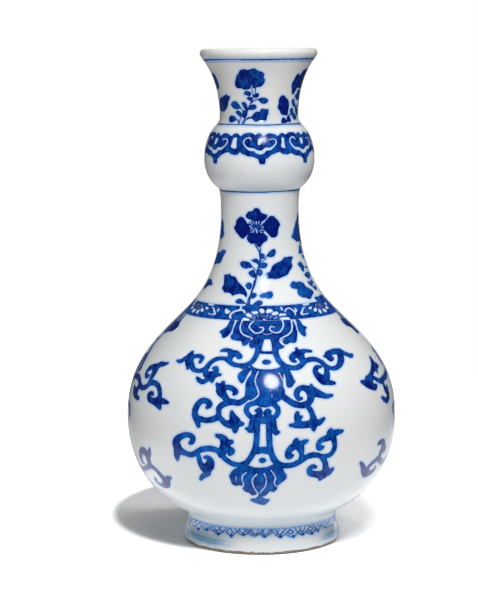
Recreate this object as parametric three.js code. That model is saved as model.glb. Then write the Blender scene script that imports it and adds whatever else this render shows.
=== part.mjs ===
// Porcelain bottle vase with a bulb below a flared mouth, in millimetres, +Z up, resting on z = 0.
// The wall is thrown in sections that are luted together with slip: a splayed foot ring, the two
// halves of the body, the neck, the bulb and the mouth, with a thin ring of fired slip in each
// joint. Every section is hollow, and one passage runs from the lip down to the inside floor.
import * as THREE from "three";

// Height of each section, from the foot up. They stack with one joint of slip between each two.
const FOOT_HEIGHT = 13.9;
const LOWER_BODY_HEIGHT = 50.5;
const UPPER_BODY_HEIGHT = 52.0;
const NECK_HEIGHT = 61.4;
const BULB_HEIGHT = 32.6;
const MOUTH_HEIGHT = 36.6;

// Luting slip.
const SLIP = 0.6; // thickness of each joint
const SLIP_BEAD = 0.8; // slip squeezed out on the inside

// Outside radii.
const FOOT_REST_RADIUS = 37.9; // outside of the flat edge that the vase stands on
const FOOT_TOP_RADIUS = 38.1; // where the foot meets the body
const CREASE_RADIUS = 39.5; // crease where the wall springs from the foot
const BELLY_RADIUS = 68.5; // widest point of the body
const SHOULDER_RADIUS = 39.2; // where the body meets the neck
const NECK_RADIUS = 19.6; // slimmest point of the neck
const NECK_TOP_RADIUS = 20.5; // crease below the bulb
const BULB_RADIUS = 27.8; // widest point of the bulb
const MOUTH_FOOT_RADIUS = 20.7; // crease above the bulb
const MOUTH_SLIM_RADIUS = 19.7; // slimmest point of the mouth
const LIP_RADIUS = 29.5; // outside of the rolled lip

// Walls, measured square to the surface.
const FOOT_REST_WIDTH = 2.5; // flat of the resting edge
const FOOT_WALL = 4.7;
const BASE_THICKNESS = 6; // clay between the recess and the inside floor
const BODY_WALL = 4.2;
const NECK_WALL = 4;
const BULB_WALL = 3.9;
const MOUTH_WALL = 3.3;

// Foot ring.
const FOOT_EDGE_ROUND = 0.9; // height of the rounding at the resting edge
const FOOT_EDGE_INSET = 0.4; // how far that rounding draws in from the splay
const FOOT_SPLAY = 2; // how far the widest point stands out from the resting edge
const FOOT_SPLAY_Z = 3; // height of the widest point
const FOOT_WAIST_DEPTH = 0.9; // how far the waist draws in above the splay
const FOOT_WAIST_REACH = 4; // how softly it does
const FOOT_EDGE_BEVEL = 1; // how far the rounding draws in on the recess side

// Body. A reach is the length of wall that a curve's end holds its direction for.
const CREASE_RISE = 2.3; // height of the crease above the joint
const SPRING_ANGLE = 25.2; // degrees above level, where the wall springs from the crease
const SPRING_REACH = 33;
const BELLY_LOWER_REACH = 3.5;
const BELLY_UPPER_REACH = 27.4;
const SHOULDER_ANGLE = 44.7; // degrees from upright, where the body meets the neck
const SHOULDER_LOWER_REACH = 17;
const SHOULDER_UPPER_REACH = 9.2;

// Neck.
const NECK_SLIM_DROP = 10.6; // slimmest point below the top of the neck
const NECK_REACH = 32.1;
const NECK_TOP_REACH = 4;
const NECK_TOP_FLARE = 0.8; // how far the last part turns out towards the bulb
const NECK_TOP_TURN = 2.6;

// Bulb.
const BULB_LOWER_ANGLE = 34.5; // degrees above level, where it springs from the neck
const BULB_LOWER_REACH = 7.9;
const BULB_WIDE_RISE = 14; // widest point above its lower joint
const BULB_WAIST_REACH = 2.2;
const BULB_UPPER_ANGLE = 40.1; // degrees below level, where it runs up into the mouth
const BULB_UPPER_REACH = 9.6;

// Mouth.
const MOUTH_CREASE_RISE = 2.5; // slimmest point above its lower joint
const MOUTH_SLIM_REACH = 13.5;
const MOUTH_FLARE_ANGLE = 38.3; // degrees from upright, just below the lip
const MOUTH_FLARE_REACH = 8;
const LIP_HEIGHT = 5; // lip above the end of the flare
const LIP_OVERHANG = 1.25; // lip outside the end of the flare
const LIP_HALF_THICK = 2.1;
const LIP_HALF_HIGH = 2.4;
const LIP_OUTER_TURN = 26; // degrees below its widest point, where the roll starts outside
const LIP_INNER_TURN = 17; // the same inside

// Facets round the wall.
const ROUND_WIDE = 64; // the body
const ROUND_SLIM = 48; // everything else

// Levels that follow from the heights.
const LOWER_BODY_Z = FOOT_HEIGHT + SLIP;
const EQUATOR_Z = LOWER_BODY_Z + LOWER_BODY_HEIGHT;
const UPPER_BODY_Z = EQUATOR_Z + SLIP;
const SHOULDER_Z = UPPER_BODY_Z + UPPER_BODY_HEIGHT;
const NECK_Z = SHOULDER_Z + SLIP;
const NECK_TOP_Z = NECK_Z + NECK_HEIGHT;
const BULB_Z = NECK_TOP_Z + SLIP;
const BULB_TOP_Z = BULB_Z + BULB_HEIGHT;
const MOUTH_Z = BULB_TOP_Z + SLIP;
const LIP_TOP_Z = MOUTH_Z + MOUTH_HEIGHT;

// Radii that follow from others.
const FOOT_SPLAY_RADIUS = FOOT_REST_RADIUS + FOOT_SPLAY; // widest point of the foot
const FOOT_RECESS_RADIUS = FOOT_TOP_RADIUS - FOOT_WALL;
const BELLY_INNER = BELLY_RADIUS - BODY_WALL;
const shoulderSlope = THREE.MathUtils.degToRad(SHOULDER_ANGLE);
const SHOULDER_INNER = SHOULDER_RADIUS - BODY_WALL / Math.cos(shoulderSlope);
const BORE = NECK_RADIUS - NECK_WALL; // the throat through the neck, the bulb and the mouth

const point = (radius, z) => new THREE.Vector2(radius, z);

// Points along a smooth stretch of wall. Each end has a handle: how far out and up it lies.
function sweep(start, startHandle, end, endHandle, steps) {
  const curve = new THREE.CubicBezierCurve(
    start,
    start.clone().add(point(...startHandle)),
    end.clone().add(point(...endHandle)),
    end,
  );
  return curve.getPoints(steps);
}

// A handle of a given length, turned so many degrees above level.
function rising(reach, degrees) {
  const angle = THREE.MathUtils.degToRad(degrees);
  return [reach * Math.cos(angle), reach * Math.sin(angle)];
}

// The inside of a wall, from its top level down to its bottom level: each point of the outside is
// moved in by the wall's thickness, and kept where it lies between the two ends and outside the bore.
function inside(outside, wall, top, bottom, bore = 0) {
  const line = [];
  for (let i = outside.length - 2; i > 0; i -= 1) {
    const along = outside[i + 1].clone().sub(outside[i - 1]).normalize();
    line.push(point(outside[i].x - along.y * wall, outside[i].y + along.x * wall));
  }
  const margin = wall / 8;
  const kept = line.filter(
    (p) => p.x > bore + margin && p.y < top.y - margin && p.y > bottom.y + margin,
  );
  return [top, ...kept.filter((_, i) => i % 2 === 0), bottom];
}

// One body of revolution. The outline is listed up the outside and back down the inside.
function turned(name, outline, around, material) {
  const geometry = new THREE.LatheGeometry(outline, around);
  geometry.rotateX(Math.PI / 2);
  const mesh = new THREE.Mesh(geometry, material);
  mesh.name = name;
  return mesh;
}

// A hollow section closes its outline on itself.
function hollow(name, outline, around, material) {
  return turned(name, [...outline, outline[0].clone()], around, material);
}

// The ring of slip between two sections, flush outside and with a small bead inside.
function slipRing(name, outer, inner, z, around) {
  const outline = [
    point(outer, z),
    point(outer, z + SLIP),
    point(inner, z + SLIP),
    point(inner - SLIP_BEAD, z + SLIP / 2),
    point(inner, z),
  ];
  return hollow(name, outline, around, slip);
}

const glaze = new THREE.MeshStandardMaterial({ color: 0xe7ecf2, roughness: 0.12, metalness: 0 });
const footGlaze = new THREE.MeshStandardMaterial({ color: 0xdfe4ea, roughness: 0.2, metalness: 0 });
const slip = new THREE.MeshStandardMaterial({ color: 0xe4dfd3, roughness: 0.7, metalness: 0 });

const vase = new THREE.Group();

// Foot ring: splayed, drawn in below the body, with a flat resting edge and a deep recess.
const footOutside = [
  point(FOOT_REST_RADIUS, 0),
  point(FOOT_SPLAY_RADIUS - FOOT_EDGE_INSET, FOOT_EDGE_ROUND),
  ...sweep(
    point(FOOT_SPLAY_RADIUS, FOOT_SPLAY_Z),
    [-FOOT_WAIST_DEPTH / 2, FOOT_WAIST_REACH],
    point(FOOT_TOP_RADIUS, FOOT_HEIGHT),
    [-FOOT_WAIST_DEPTH, -FOOT_WAIST_REACH],
    4,
  ),
];
const footInside = [
  point(FOOT_RECESS_RADIUS, FOOT_HEIGHT),
  point(FOOT_REST_RADIUS - FOOT_REST_WIDTH - FOOT_EDGE_BEVEL, FOOT_EDGE_ROUND),
  point(FOOT_REST_RADIUS - FOOT_REST_WIDTH, 0),
];
vase.add(hollow("foot_ring", [...footOutside, ...footInside], ROUND_SLIM, footGlaze));
vase.add(slipRing("slip_foot", FOOT_TOP_RADIUS, FOOT_RECESS_RADIUS, FOOT_HEIGHT, ROUND_SLIM));

// Lower half of the body: a bowl whose flat underside closes the recess of the foot.
const bowlOutside = sweep(
  point(CREASE_RADIUS, LOWER_BODY_Z + CREASE_RISE),
  rising(SPRING_REACH, SPRING_ANGLE),
  point(BELLY_RADIUS, EQUATOR_Z),
  [0, -BELLY_LOWER_REACH],
  10,
);
const floorLevel = LOWER_BODY_Z + BASE_THICKNESS;
vase.add(
  turned(
    "lower_body",
    [
      point(0, LOWER_BODY_Z),
      point(FOOT_TOP_RADIUS, LOWER_BODY_Z),
      ...bowlOutside,
      ...inside(
        bowlOutside,
        BODY_WALL,
        point(BELLY_INNER, EQUATOR_Z),
        point(CREASE_RADIUS - BODY_WALL, floorLevel),
      ),
      point(0, floorLevel),
    ],
    ROUND_WIDE,
    glaze,
  ),
);
vase.add(slipRing("slip_equator", BELLY_RADIUS, BELLY_INNER, EQUATOR_Z, ROUND_WIDE));

// Upper half of the body: it closes in over the round shoulder and turns up into the neck.
const domeOutside = sweep(
  point(BELLY_RADIUS, UPPER_BODY_Z),
  [0, BELLY_UPPER_REACH],
  point(SHOULDER_RADIUS, SHOULDER_Z),
  rising(SHOULDER_LOWER_REACH, SHOULDER_ANGLE - 90),
  9,
);
vase.add(
  hollow(
    "upper_body",
    [
      ...domeOutside,
      ...inside(
        domeOutside,
        BODY_WALL,
        point(SHOULDER_INNER, SHOULDER_Z),
        point(BELLY_INNER, UPPER_BODY_Z),
      ),
    ],
    ROUND_WIDE,
    glaze,
  ),
);
vase.add(slipRing("slip_shoulder", SHOULDER_RADIUS, SHOULDER_INNER, SHOULDER_Z, ROUND_SLIM));

// Neck: a wide base that sweeps up into a slim, nearly straight tube.
const neckSlim = point(NECK_RADIUS, NECK_TOP_Z - NECK_SLIM_DROP);
const neckOutside = [
  ...sweep(
    point(SHOULDER_RADIUS, NECK_Z),
    rising(SHOULDER_UPPER_REACH, 90 + SHOULDER_ANGLE),
    neckSlim,
    [0, -NECK_REACH],
    10,
  ),
  ...sweep(
    neckSlim,
    [0, NECK_TOP_REACH],
    point(NECK_TOP_RADIUS, NECK_TOP_Z),
    [-NECK_TOP_FLARE, -NECK_TOP_TURN],
    2,
  ).slice(1),
];
vase.add(
  hollow(
    "neck",
    [
      ...neckOutside,
      ...inside(
        neckOutside,
        NECK_WALL,
        point(BORE, NECK_TOP_Z),
        point(SHOULDER_INNER, NECK_Z),
        BORE - NECK_WALL,
      ),
    ],
    ROUND_SLIM,
    glaze,
  ),
);
vase.add(slipRing("slip_neck", NECK_TOP_RADIUS, BORE, NECK_TOP_Z, ROUND_SLIM));

// Bulb: a full round collar, creased below and above.
const bulbWide = point(BULB_RADIUS, BULB_Z + BULB_WIDE_RISE);
const bulbOutside = [
  ...sweep(
    point(NECK_TOP_RADIUS, BULB_Z),
    rising(BULB_LOWER_REACH, BULB_LOWER_ANGLE),
    bulbWide,
    [0, -BULB_WAIST_REACH],
    5,
  ),
  ...sweep(
    bulbWide,
    [0, BULB_WAIST_REACH],
    point(MOUTH_FOOT_RADIUS, BULB_TOP_Z),
    rising(BULB_UPPER_REACH, -BULB_UPPER_ANGLE),
    6,
  ).slice(1),
];
vase.add(
  hollow(
    "bulb",
    [
      ...bulbOutside,
      ...inside(bulbOutside, BULB_WALL, point(BORE, BULB_TOP_Z), point(BORE, BULB_Z), BORE),
    ],
    ROUND_SLIM,
    glaze,
  ),
);
vase.add(slipRing("slip_bulb", MOUTH_FOOT_RADIUS, BORE, BULB_TOP_Z, ROUND_SLIM));

// Mouth: it flares from the crease above the bulb to a rolled lip.
const flareOutside = sweep(
  point(MOUTH_SLIM_RADIUS, MOUTH_Z + MOUTH_CREASE_RISE),
  [0, MOUTH_SLIM_REACH],
  point(LIP_RADIUS - LIP_OVERHANG, LIP_TOP_Z - LIP_HEIGHT),
  rising(MOUTH_FLARE_REACH, -90 - MOUTH_FLARE_ANGLE),
  8,
);
const lip = new THREE.EllipseCurve(
  LIP_RADIUS - LIP_HALF_THICK,
  LIP_TOP_Z - LIP_HALF_HIGH,
  LIP_HALF_THICK,
  LIP_HALF_HIGH,
  THREE.MathUtils.degToRad(-LIP_OUTER_TURN),
  THREE.MathUtils.degToRad(180 + LIP_INNER_TURN),
  false,
  0,
).getPoints(8);
vase.add(
  hollow(
    "mouth",
    [
      point(MOUTH_FOOT_RADIUS, MOUTH_Z),
      ...flareOutside,
      ...lip,
      ...inside(flareOutside, MOUTH_WALL, lip[8], point(BORE, MOUTH_Z)).slice(1),
    ],
    ROUND_SLIM,
    glaze,
  ),
);

export default vase;
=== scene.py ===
import math

import bpy
import numpy as np
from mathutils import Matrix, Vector


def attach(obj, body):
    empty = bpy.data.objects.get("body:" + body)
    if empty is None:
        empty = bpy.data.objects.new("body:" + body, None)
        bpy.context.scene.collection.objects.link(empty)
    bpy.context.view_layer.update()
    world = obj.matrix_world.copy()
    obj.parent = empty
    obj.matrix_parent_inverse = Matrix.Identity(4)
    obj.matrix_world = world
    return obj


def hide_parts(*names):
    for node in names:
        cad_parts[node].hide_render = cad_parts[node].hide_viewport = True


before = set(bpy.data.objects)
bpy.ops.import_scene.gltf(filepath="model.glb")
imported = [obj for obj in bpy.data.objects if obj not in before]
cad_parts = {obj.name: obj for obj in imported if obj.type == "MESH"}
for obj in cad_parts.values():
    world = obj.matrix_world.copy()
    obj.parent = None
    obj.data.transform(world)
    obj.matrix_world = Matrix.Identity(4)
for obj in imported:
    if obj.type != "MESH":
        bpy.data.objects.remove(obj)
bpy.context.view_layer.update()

# Camera: about a metre in front of the vase, level with its lip and tilted down to its middle,
# with the slight turn that the picture has. Its distances are in mm and its angles in degrees.
MM = 0.001
CAMERA_DISTANCE = 1000.0
CAMERA_HEIGHT = 250.7
CAMERA_SIDE = 10.95
CAMERA_TILT = 7.41
CAMERA_TURN = -0.51
FOCAL_PIXELS = 1982.2
FRAME_PIXELS = 610
SENSOR_WIDTH = 36.0

camera_data = bpy.data.cameras.new("camera")
camera_data.sensor_fit = "AUTO"
camera_data.sensor_width = SENSOR_WIDTH
camera_data.lens = FOCAL_PIXELS * SENSOR_WIDTH / FRAME_PIXELS
camera_data.clip_start = 0.05
camera_data.clip_end = 20.0
camera = bpy.data.objects.new("camera", camera_data)
bpy.context.scene.collection.objects.link(camera)
camera.location = (-CAMERA_SIDE * MM, -CAMERA_DISTANCE * MM, CAMERA_HEIGHT * MM)
camera.rotation_mode = "ZYX"
camera.rotation_euler = (math.radians(90.0 - CAMERA_TILT), 0.0, math.radians(CAMERA_TURN))
bpy.context.scene.camera = camera

# Studio table: a small sheet of white card. It takes the shadow of the vase, which falls behind it
# and to the left, and outside the shadow it is white to the camera, as the background is. In what
# the glaze mirrors, its front and its sides are painted darker, as shade, and its far left corner
# is darker still, a painted shadow of the vase.
TABLE_SIZE = 1.0
TABLE_COLOR = 0.86
# Stretches of the card in metres, each from where it starts to where it is full, and what follows
# in some of them is how much light it gives at both.
MIRRORED_DEPTH = (-0.118, -0.02)
MIRRORED_WIDTH = (0.33, 0.13)
CORNER_DEPTH = (0.0, 0.12)
CORNER_WIDTH = (0.02, -0.10)
CORNER_PAINTED_SHADOW = 0.65
# The two fills below are painted fill light in the shade, seen by the camera only.
SHADE_FILL_RIGHT = (0.02, 0.05, 0.04, 0.42)
SHADE_FILL_FAR = (0.045, 0.085, 0.0, 0.22)
# Painted light: how brightly the card glows to the rays that are not the camera's.
MIRRORED_GLOW = 0.40
BOUNCE_NEAR = (0.16, 0.09, 0.0, 0.27)
BOUNCE_LEFT = (-0.05, -0.16, 0.0, 0.50)
SHADE_MIDDLE = (-0.006, 0.058, 0.0)
SHADE_HALF = (0.070, 0.084, 1.0)
SHADE_EDGE = (1.0, 1.15)


def node(tree, kind, feeds=None, **settings):
    """Adds one node; feeds are its inputs, by number or name, each a plain value or a socket."""
    made = tree.nodes.new(kind)
    for name, value in settings.items():
        setattr(made, name, value)
    for socket, value in (feeds or {}).items():
        if isinstance(value, bpy.types.NodeSocket):
            tree.links.new(value, made.inputs[socket])
        else:
            made.inputs[socket].default_value = value
    return made


def math_of(tree, operation, *values):
    return node(tree, "ShaderNodeMath", dict(enumerate(values)), operation=operation).outputs[0]


def ramp(tree, value, start, end, low=0.0, high=1.0):
    """A soft step from low to high while value goes from start to end."""
    feeds = {0: value, 1: start, 2: end, 3: low, 4: high}
    made = node(tree, "ShaderNodeMapRange", feeds, interpolation_type="SMOOTHSTEP")
    return made.outputs[0]


def background_rays(tree):
    """1 for the rays that see the background mirrored in something, or through it."""
    path = node(tree, "ShaderNodeLightPath").outputs
    return math_of(tree, "MAXIMUM", path["Is Glossy Ray"], path["Is Transmission Ray"])


bpy.ops.object.select_all(action="DESELECT")
bpy.ops.mesh.primitive_plane_add(size=TABLE_SIZE, location=(0.0, 0.0, 0.0))
table = bpy.context.active_object
table.name = table.data.name = "studio_table"
card = bpy.data.materials.new("white_card")
card.use_nodes = True
tree = card.node_tree
card_shader = tree.nodes["Principled BSDF"]
card_shader.inputs["Roughness"].default_value = 0.9
card_shader.inputs["Specular IOR Level"].default_value = 0.0
place = node(tree, "ShaderNodeTexCoord").outputs["Object"]
across, depth, _ = node(tree, "ShaderNodeSeparateXYZ", {0: place}).outputs
# How much of the card its mirror image shows; where it shows less, the card is painted darker, as
# shade.
beside = ramp(tree, math_of(tree, "ABSOLUTE", across), *MIRRORED_WIDTH)
shown = math_of(tree, "MULTIPLY", ramp(tree, depth, *MIRRORED_DEPTH), beside)
# Its far left corner is darker still in the mirror: a painted shadow of the vase.
painted_corner_shadow = math_of(
    tree, "MULTIPLY", ramp(tree, depth, *CORNER_DEPTH), ramp(tree, across, *CORNER_WIDTH)
)
lit = math_of(tree, "MULTIPLY_ADD", painted_corner_shadow, -CORNER_PAINTED_SHADOW, 1.0)
shown = math_of(tree, "MULTIPLY", shown, lit)
mirror = background_rays(tree)
seen = math_of(tree, "MULTIPLY_ADD", mirror, math_of(tree, "SUBTRACT", shown, 1.0), 1.0)
card_color = math_of(tree, "MULTIPLY", seen, TABLE_COLOR)
tree.links.new(card_color, card_shader.inputs["Base Color"])
# Camera rays see the card lifted to white, all but an oval round the shade behind the foot. Within
# it the shade is lifted a little on the right and further back: a painted fill light.
near = node(tree, "ShaderNodeVectorMath", {0: place}, operation="LENGTH").outputs["Value"]
place = node(tree, "ShaderNodeVectorMath", {0: place, 1: SHADE_MIDDLE}, operation="SUBTRACT")
place = place.outputs[0]
place = node(tree, "ShaderNodeVectorMath", {0: place, 1: SHADE_HALF}, operation="DIVIDE")
away = node(tree, "ShaderNodeVectorMath", {0: place.outputs[0]}, operation="LENGTH")
open_card = ramp(tree, away.outputs["Value"], *SHADE_EDGE)
painted_fill = ramp(tree, across, *SHADE_FILL_RIGHT)
painted_fill = math_of(tree, "MAXIMUM", painted_fill, ramp(tree, depth, *SHADE_FILL_FAR))
straight = math_of(tree, "MAXIMUM", open_card, painted_fill)
# All other rays see the card glow, though it is no lamp: painted light thrown back on the vase,
# mirrored in the glaze outside the shade, and bouncing up near the foot and from the left.
painted_glow = math_of(tree, "MULTIPLY", math_of(tree, "MULTIPLY", open_card, MIRRORED_GLOW), mirror)
painted_glow = math_of(tree, "ADD", painted_glow, ramp(tree, near, *BOUNCE_NEAR))
painted_glow = math_of(tree, "ADD", painted_glow, ramp(tree, across, *BOUNCE_LEFT))
painted_glow = math_of(tree, "MULTIPLY", painted_glow, seen)
camera_rays = node(tree, "ShaderNodeLightPath").outputs["Is Camera Ray"]
lift = node(tree, "ShaderNodeMix", {0: camera_rays, 2: painted_glow, 3: straight}).outputs[0]
glow = node(tree, "ShaderNodeEmission", {1: lift})
both = node(tree, "ShaderNodeAddShader", {0: card_shader.outputs[0], 1: glow.outputs[0]})
tree.links.new(both.outputs[0], tree.nodes["Material Output"].inputs["Surface"])
table.data.materials.append(card)

# Studio room: dim all round, with a white background. A soft lamp stands high in front, mirrored in
# the glaze by its middle only. A wide lamp hangs overhead, a small one high at the right, and one
# behind lights the back of the vase but not the table.
ROOM_LIGHT = 0.05
BACKGROUND_BEHIND = (0.945, 0.985)
BACKGROUND_RIGHT = (-0.25, 0.10, 0.20, 1.0)
WHITE = (1.0, 1.0, 1.0, 1.0)
MAIN_LAMP = (0.165, -0.88, 1.0)
LAMP_AIM = (0.0, 0.0, 0.12)

room = bpy.data.worlds.new("studio_room")
room.use_nodes = True
tree = room.node_tree
tree.nodes.clear()
facing = node(tree, "ShaderNodeTexCoord").outputs["Generated"]
right, behind, _ = node(tree, "ShaderNodeSeparateXYZ", {0: facing}).outputs
window = math_of(
    tree, "MULTIPLY", ramp(tree, behind, *BACKGROUND_BEHIND), ramp(tree, right, *BACKGROUND_RIGHT)
)
path = node(tree, "ShaderNodeLightPath")
mirrored = math_of(tree, "MULTIPLY", path.outputs["Is Glossy Ray"], window)
white = math_of(tree, "MAXIMUM", path.outputs["Is Camera Ray"], mirrored)
white = math_of(tree, "MAXIMUM", white, path.outputs["Is Transmission Ray"])
dim = node(tree, "ShaderNodeBackground", {0: WHITE, 1: ROOM_LIGHT})
bright = node(tree, "ShaderNodeBackground", {0: WHITE, 1: 1.0})
mixed = node(tree, "ShaderNodeMixShader", {0: white, 1: dim.outputs[0], 2: bright.outputs[0]})
node(tree, "ShaderNodeOutputWorld", {0: mixed.outputs[0]})
bpy.context.scene.world = room


def soft_lamp(name, place, width, height, power):
    """An oval lamp that faces the vase, in metres and watts."""
    lamp_data = bpy.data.lights.new(name, "AREA")
    lamp_data.shape = "ELLIPSE"
    lamp_data.size = width
    lamp_data.size_y = height
    lamp_data.energy = power
    lamp = bpy.data.objects.new(name, lamp_data)
    bpy.context.scene.collection.objects.link(lamp)
    lamp.location = place
    lamp.rotation_euler = (Vector(LAMP_AIM) - Vector(place)).to_track_quat("-Z", "Y").to_euler()
    return lamp


soft_lamp("main_lamp", MAIN_LAMP, 0.23, 0.35, 4.7)
soft_lamp("main_lamp_spill", MAIN_LAMP, 0.25, 0.38, 7.7).visible_glossy = False
soft_lamp("overhead_lamp", (0.0, -0.2, 1.5), 1.0, 1.0, 5.7).visible_glossy = False
soft_lamp("side_lamp", (0.36, 0.0, 1.42), 0.12, 0.12, 1.8).visible_glossy = False
back_lamp = soft_lamp("back_lamp", (0.0, 1.0, 0.4), 0.8, 0.8, 7.0)
back_lamp.visible_glossy = False
unlit = bpy.data.collections.new("out_of_the_back_lamp")
unlit.objects.link(table)
back_lamp.light_linking.receiver_collection = unlit
unlit.collection_objects[0].light_linking.link_state = "EXCLUDE"
bpy.context.scene.view_settings.view_transform = "Standard"

# Foot ring: thrown porcelain, splayed, glazed down to a bare resting edge where the body shows with
# burnt specks, in a grey-brown that is partly painted shade where the foot meets the table. A
# lattice border of small teeth is pencilled round its top.
FOOT_REST = 37.9
FOOT_WIDE = 39.9
FOOT_TOP = 38.1
FOOT_INSIDE = 33.4
FOOT_JOINT = 14.2
FOOT_STEPS = 960
JOINT_HALF = 0.3  # half of the slip in each joint, whose middle is the level given for it
SKIN = 0.35  # glaze that closes over each joint
BARE_EDGE = 1.9
RAGGED = 0.15  # how softly the glaze ends above that edge
BRUSH_SPREAD = 0.34  # how far the cobalt runs out beyond the brush
BLEED_REACH = 1.2  # how far out from a stroke its distance is worked out
UNPAINTED = 9.0  # stands for the distance where no stroke is near
GLAZE_WHITE = (0.80, 0.812, 0.81, 1.0)
GLAZE_POOL = (0.42, 0.60, 0.72, 1.0)
# Pooled blue of the foot's glaze, which also serves as painted shade low on the foot.
FOOT_POOL_AND_SHADE = (0.22, 0.42, 0.61, 1.0)
BARE_BODY_AND_SHADE = (0.26, 0.22, 0.19, 1.0)
BURNT_SPECK = (0.10, 0.07, 0.05, 1.0)
PINHOLE = (0.33, 0.31, 0.29, 1.0)
COBALT_DARK = (0.0005, 0.0075, 0.160, 1.0)
COBALT_WASH = (0.0045, 0.140, 0.560, 1.0)
COBALT_BLEED = (0.22, 0.52, 0.98, 1.0)


def bend(start, start_handle, end_handle, end, step):
    """Points in mm along a smooth stretch of wall, about one step apart, without its first point."""
    corners = (start, start_handle, end_handle, end)
    reach = sum(math.dist(a, b) for a, b in zip(corners, corners[1:]))
    count = max(2, round(reach / step))
    points = []
    for i in range(1, count + 1):
        t = i / count
        u = 1.0 - t
        weights = (u * u * u, 3 * u * u * t, 3 * u * t * t, t * t * t)
        points.append(tuple(sum(w * c[k] for w, c in zip(weights, corners)) for k in (0, 1)))
    return points


def inner_side(outer, wall, top, bottom, bore=0.0, every=7):
    """The inside of a wall, from its top down: the outside moved in by the wall's thickness. It
    takes one point in every few of the outside, and none that would narrow the bore."""
    line = [top]
    for i in range(len(outer) - 2, 0, -every):
        (r0, z0), (r1, z1) = outer[i - 1], outer[i + 1]
        run = math.dist((r0, z0), (r1, z1))
        r = outer[i][0] - wall * (z1 - z0) / run
        z = outer[i][1] + wall * (r1 - r0) / run
        if r > bore + 0.4 and bottom[1] + 0.8 < z < top[1] - 0.8:
            line.append((r, z))
    return line + [bottom]


def turned(name, outline, steps):
    """A wall thrown on the wheel: its outline in mm, taken once round the axis."""
    bpy.ops.object.select_all(action="DESELECT")
    bpy.ops.mesh.primitive_plane_add(size=0.001, location=(0.0, 0.0, 0.0))
    piece = bpy.context.active_object
    piece.name = piece.data.name = name
    bpy.ops.object.mode_set(mode="EDIT")
    bpy.ops.mesh.select_all(action="SELECT")
    bpy.ops.mesh.merge(type="CENTER")
    bpy.ops.transform.translate(value=(0.0, outline[0][0] * MM, outline[0][1] * MM))
    for (r0, z0), (r1, z1) in zip(outline, outline[1:]):
        bpy.ops.mesh.extrude_region_move(
            TRANSFORM_OT_translate={"value": (0.0, (r1 - r0) * MM, (z1 - z0) * MM)}
        )
    bpy.ops.mesh.select_all(action="SELECT")
    bpy.ops.mesh.remove_doubles(threshold=1e-6)
    bpy.ops.object.mode_set(mode="OBJECT")
    wheel = piece.modifiers.new("wheel", "SCREW")
    wheel.steps = wheel.render_steps = steps
    wheel.use_merge_vertices = True
    wheel.merge_threshold = 1e-6
    bpy.ops.object.modifier_apply(modifier=wheel.name)
    bpy.ops.object.mode_set(mode="EDIT")
    bpy.ops.mesh.select_all(action="SELECT")
    bpy.ops.mesh.remove_doubles(threshold=1e-6)
    bpy.ops.mesh.normals_make_consistent(inside=False)
    bpy.ops.object.mode_set(mode="OBJECT")
    bpy.ops.object.shade_smooth_by_angle(angle=math.radians(40.0))
    return piece


def noise(tree, scale, detail=2.0, stretch=(1.0, 1.0, 1.0)):
    """Uneven tone from 0 to 1 in the clay, glaze or brush, so many waves to the metre."""
    place = node(tree, "ShaderNodeTexCoord").outputs["Object"]
    place = node(tree, "ShaderNodeMapping", {"Vector": place, "Scale": stretch}).outputs[0]
    made = node(tree, "ShaderNodeTexNoise", {"Vector": place, "Scale": scale, "Detail": detail})
    return made.outputs[0]


def blend(tree, share, first, second):
    """The first colour, and the second where share is 1."""
    feeds = {0: share, 6: first, 7: second}
    return node(tree, "ShaderNodeMix", feeds, data_type="RGBA").outputs[2]


def new_group(name, inputs, outputs):
    """An empty node group with named sockets, and its two end nodes."""
    group = bpy.data.node_groups.new(name, "ShaderNodeTree")
    for direction, sockets in (("INPUT", inputs), ("OUTPUT", outputs)):
        for label, kind in sockets:
            group.interface.new_socket(name=label, in_out=direction, socket_type=kind)
    return group, node(group, "NodeGroupInput"), node(group, "NodeGroupOutput")


def use(tree, group, feeds):
    return node(tree, "ShaderNodeGroup", feeds, node_tree=group).outputs


def around(tree):
    """Angle in degrees from the front, height and distance from the axis in mm."""
    place = node(tree, "ShaderNodeTexCoord").outputs["Object"]
    x, y, z = node(tree, "ShaderNodeSeparateXYZ", {0: place}).outputs
    back = math_of(tree, "MULTIPLY", y, -1.0)
    angle = math_of(tree, "DEGREES", math_of(tree, "ARCTAN2", x, back))
    spread = math_of(tree, "MULTIPLY_ADD", x, x, math_of(tree, "MULTIPLY", y, y))
    radius = math_of(tree, "MULTIPLY", math_of(tree, "SQRT", spread), 1000.0)
    return angle, math_of(tree, "MULTIPLY", z, 1000.0), radius


# The glaze over bare porcelain: nearly white, faintly clouded, bluer where it pools. On the foot
# that pooled blue also carries painted shade.
glaze_ground, ends_in, ends_out = new_group(
    "glaze_ground",
    [("Glaze", "NodeSocketColor"), ("Pooled", "NodeSocketColor"), ("Pool", "NodeSocketFloat")],
    [("Color", "NodeSocketColor"), ("Height", "NodeSocketFloat")],
)
cloud = ramp(glaze_ground, noise(glaze_ground, 30.0, 3.0), 0.3, 0.7, 0.0, 0.06)
cloud = math_of(glaze_ground, "ADD", cloud, ends_in.outputs["Pool"])
tinted = blend(glaze_ground, cloud, ends_in.outputs["Glaze"], ends_in.outputs["Pooled"])
pin = ramp(glaze_ground, noise(glaze_ground, 650.0, 0.0), 0.80, 0.86, 0.0, 0.35)
tinted = blend(glaze_ground, pin, tinted, PINHOLE)
glaze_ground.links.new(tinted, ends_out.inputs["Color"])
slow = noise(glaze_ground, 55.0, 1.0)
ripple = math_of(glaze_ground, "MULTIPLY", noise(glaze_ground, 420.0, 2.0), 0.10)
glaze_ground.links.new(math_of(glaze_ground, "ADD", slow, ripple), ends_out.inputs["Height"])

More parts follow.
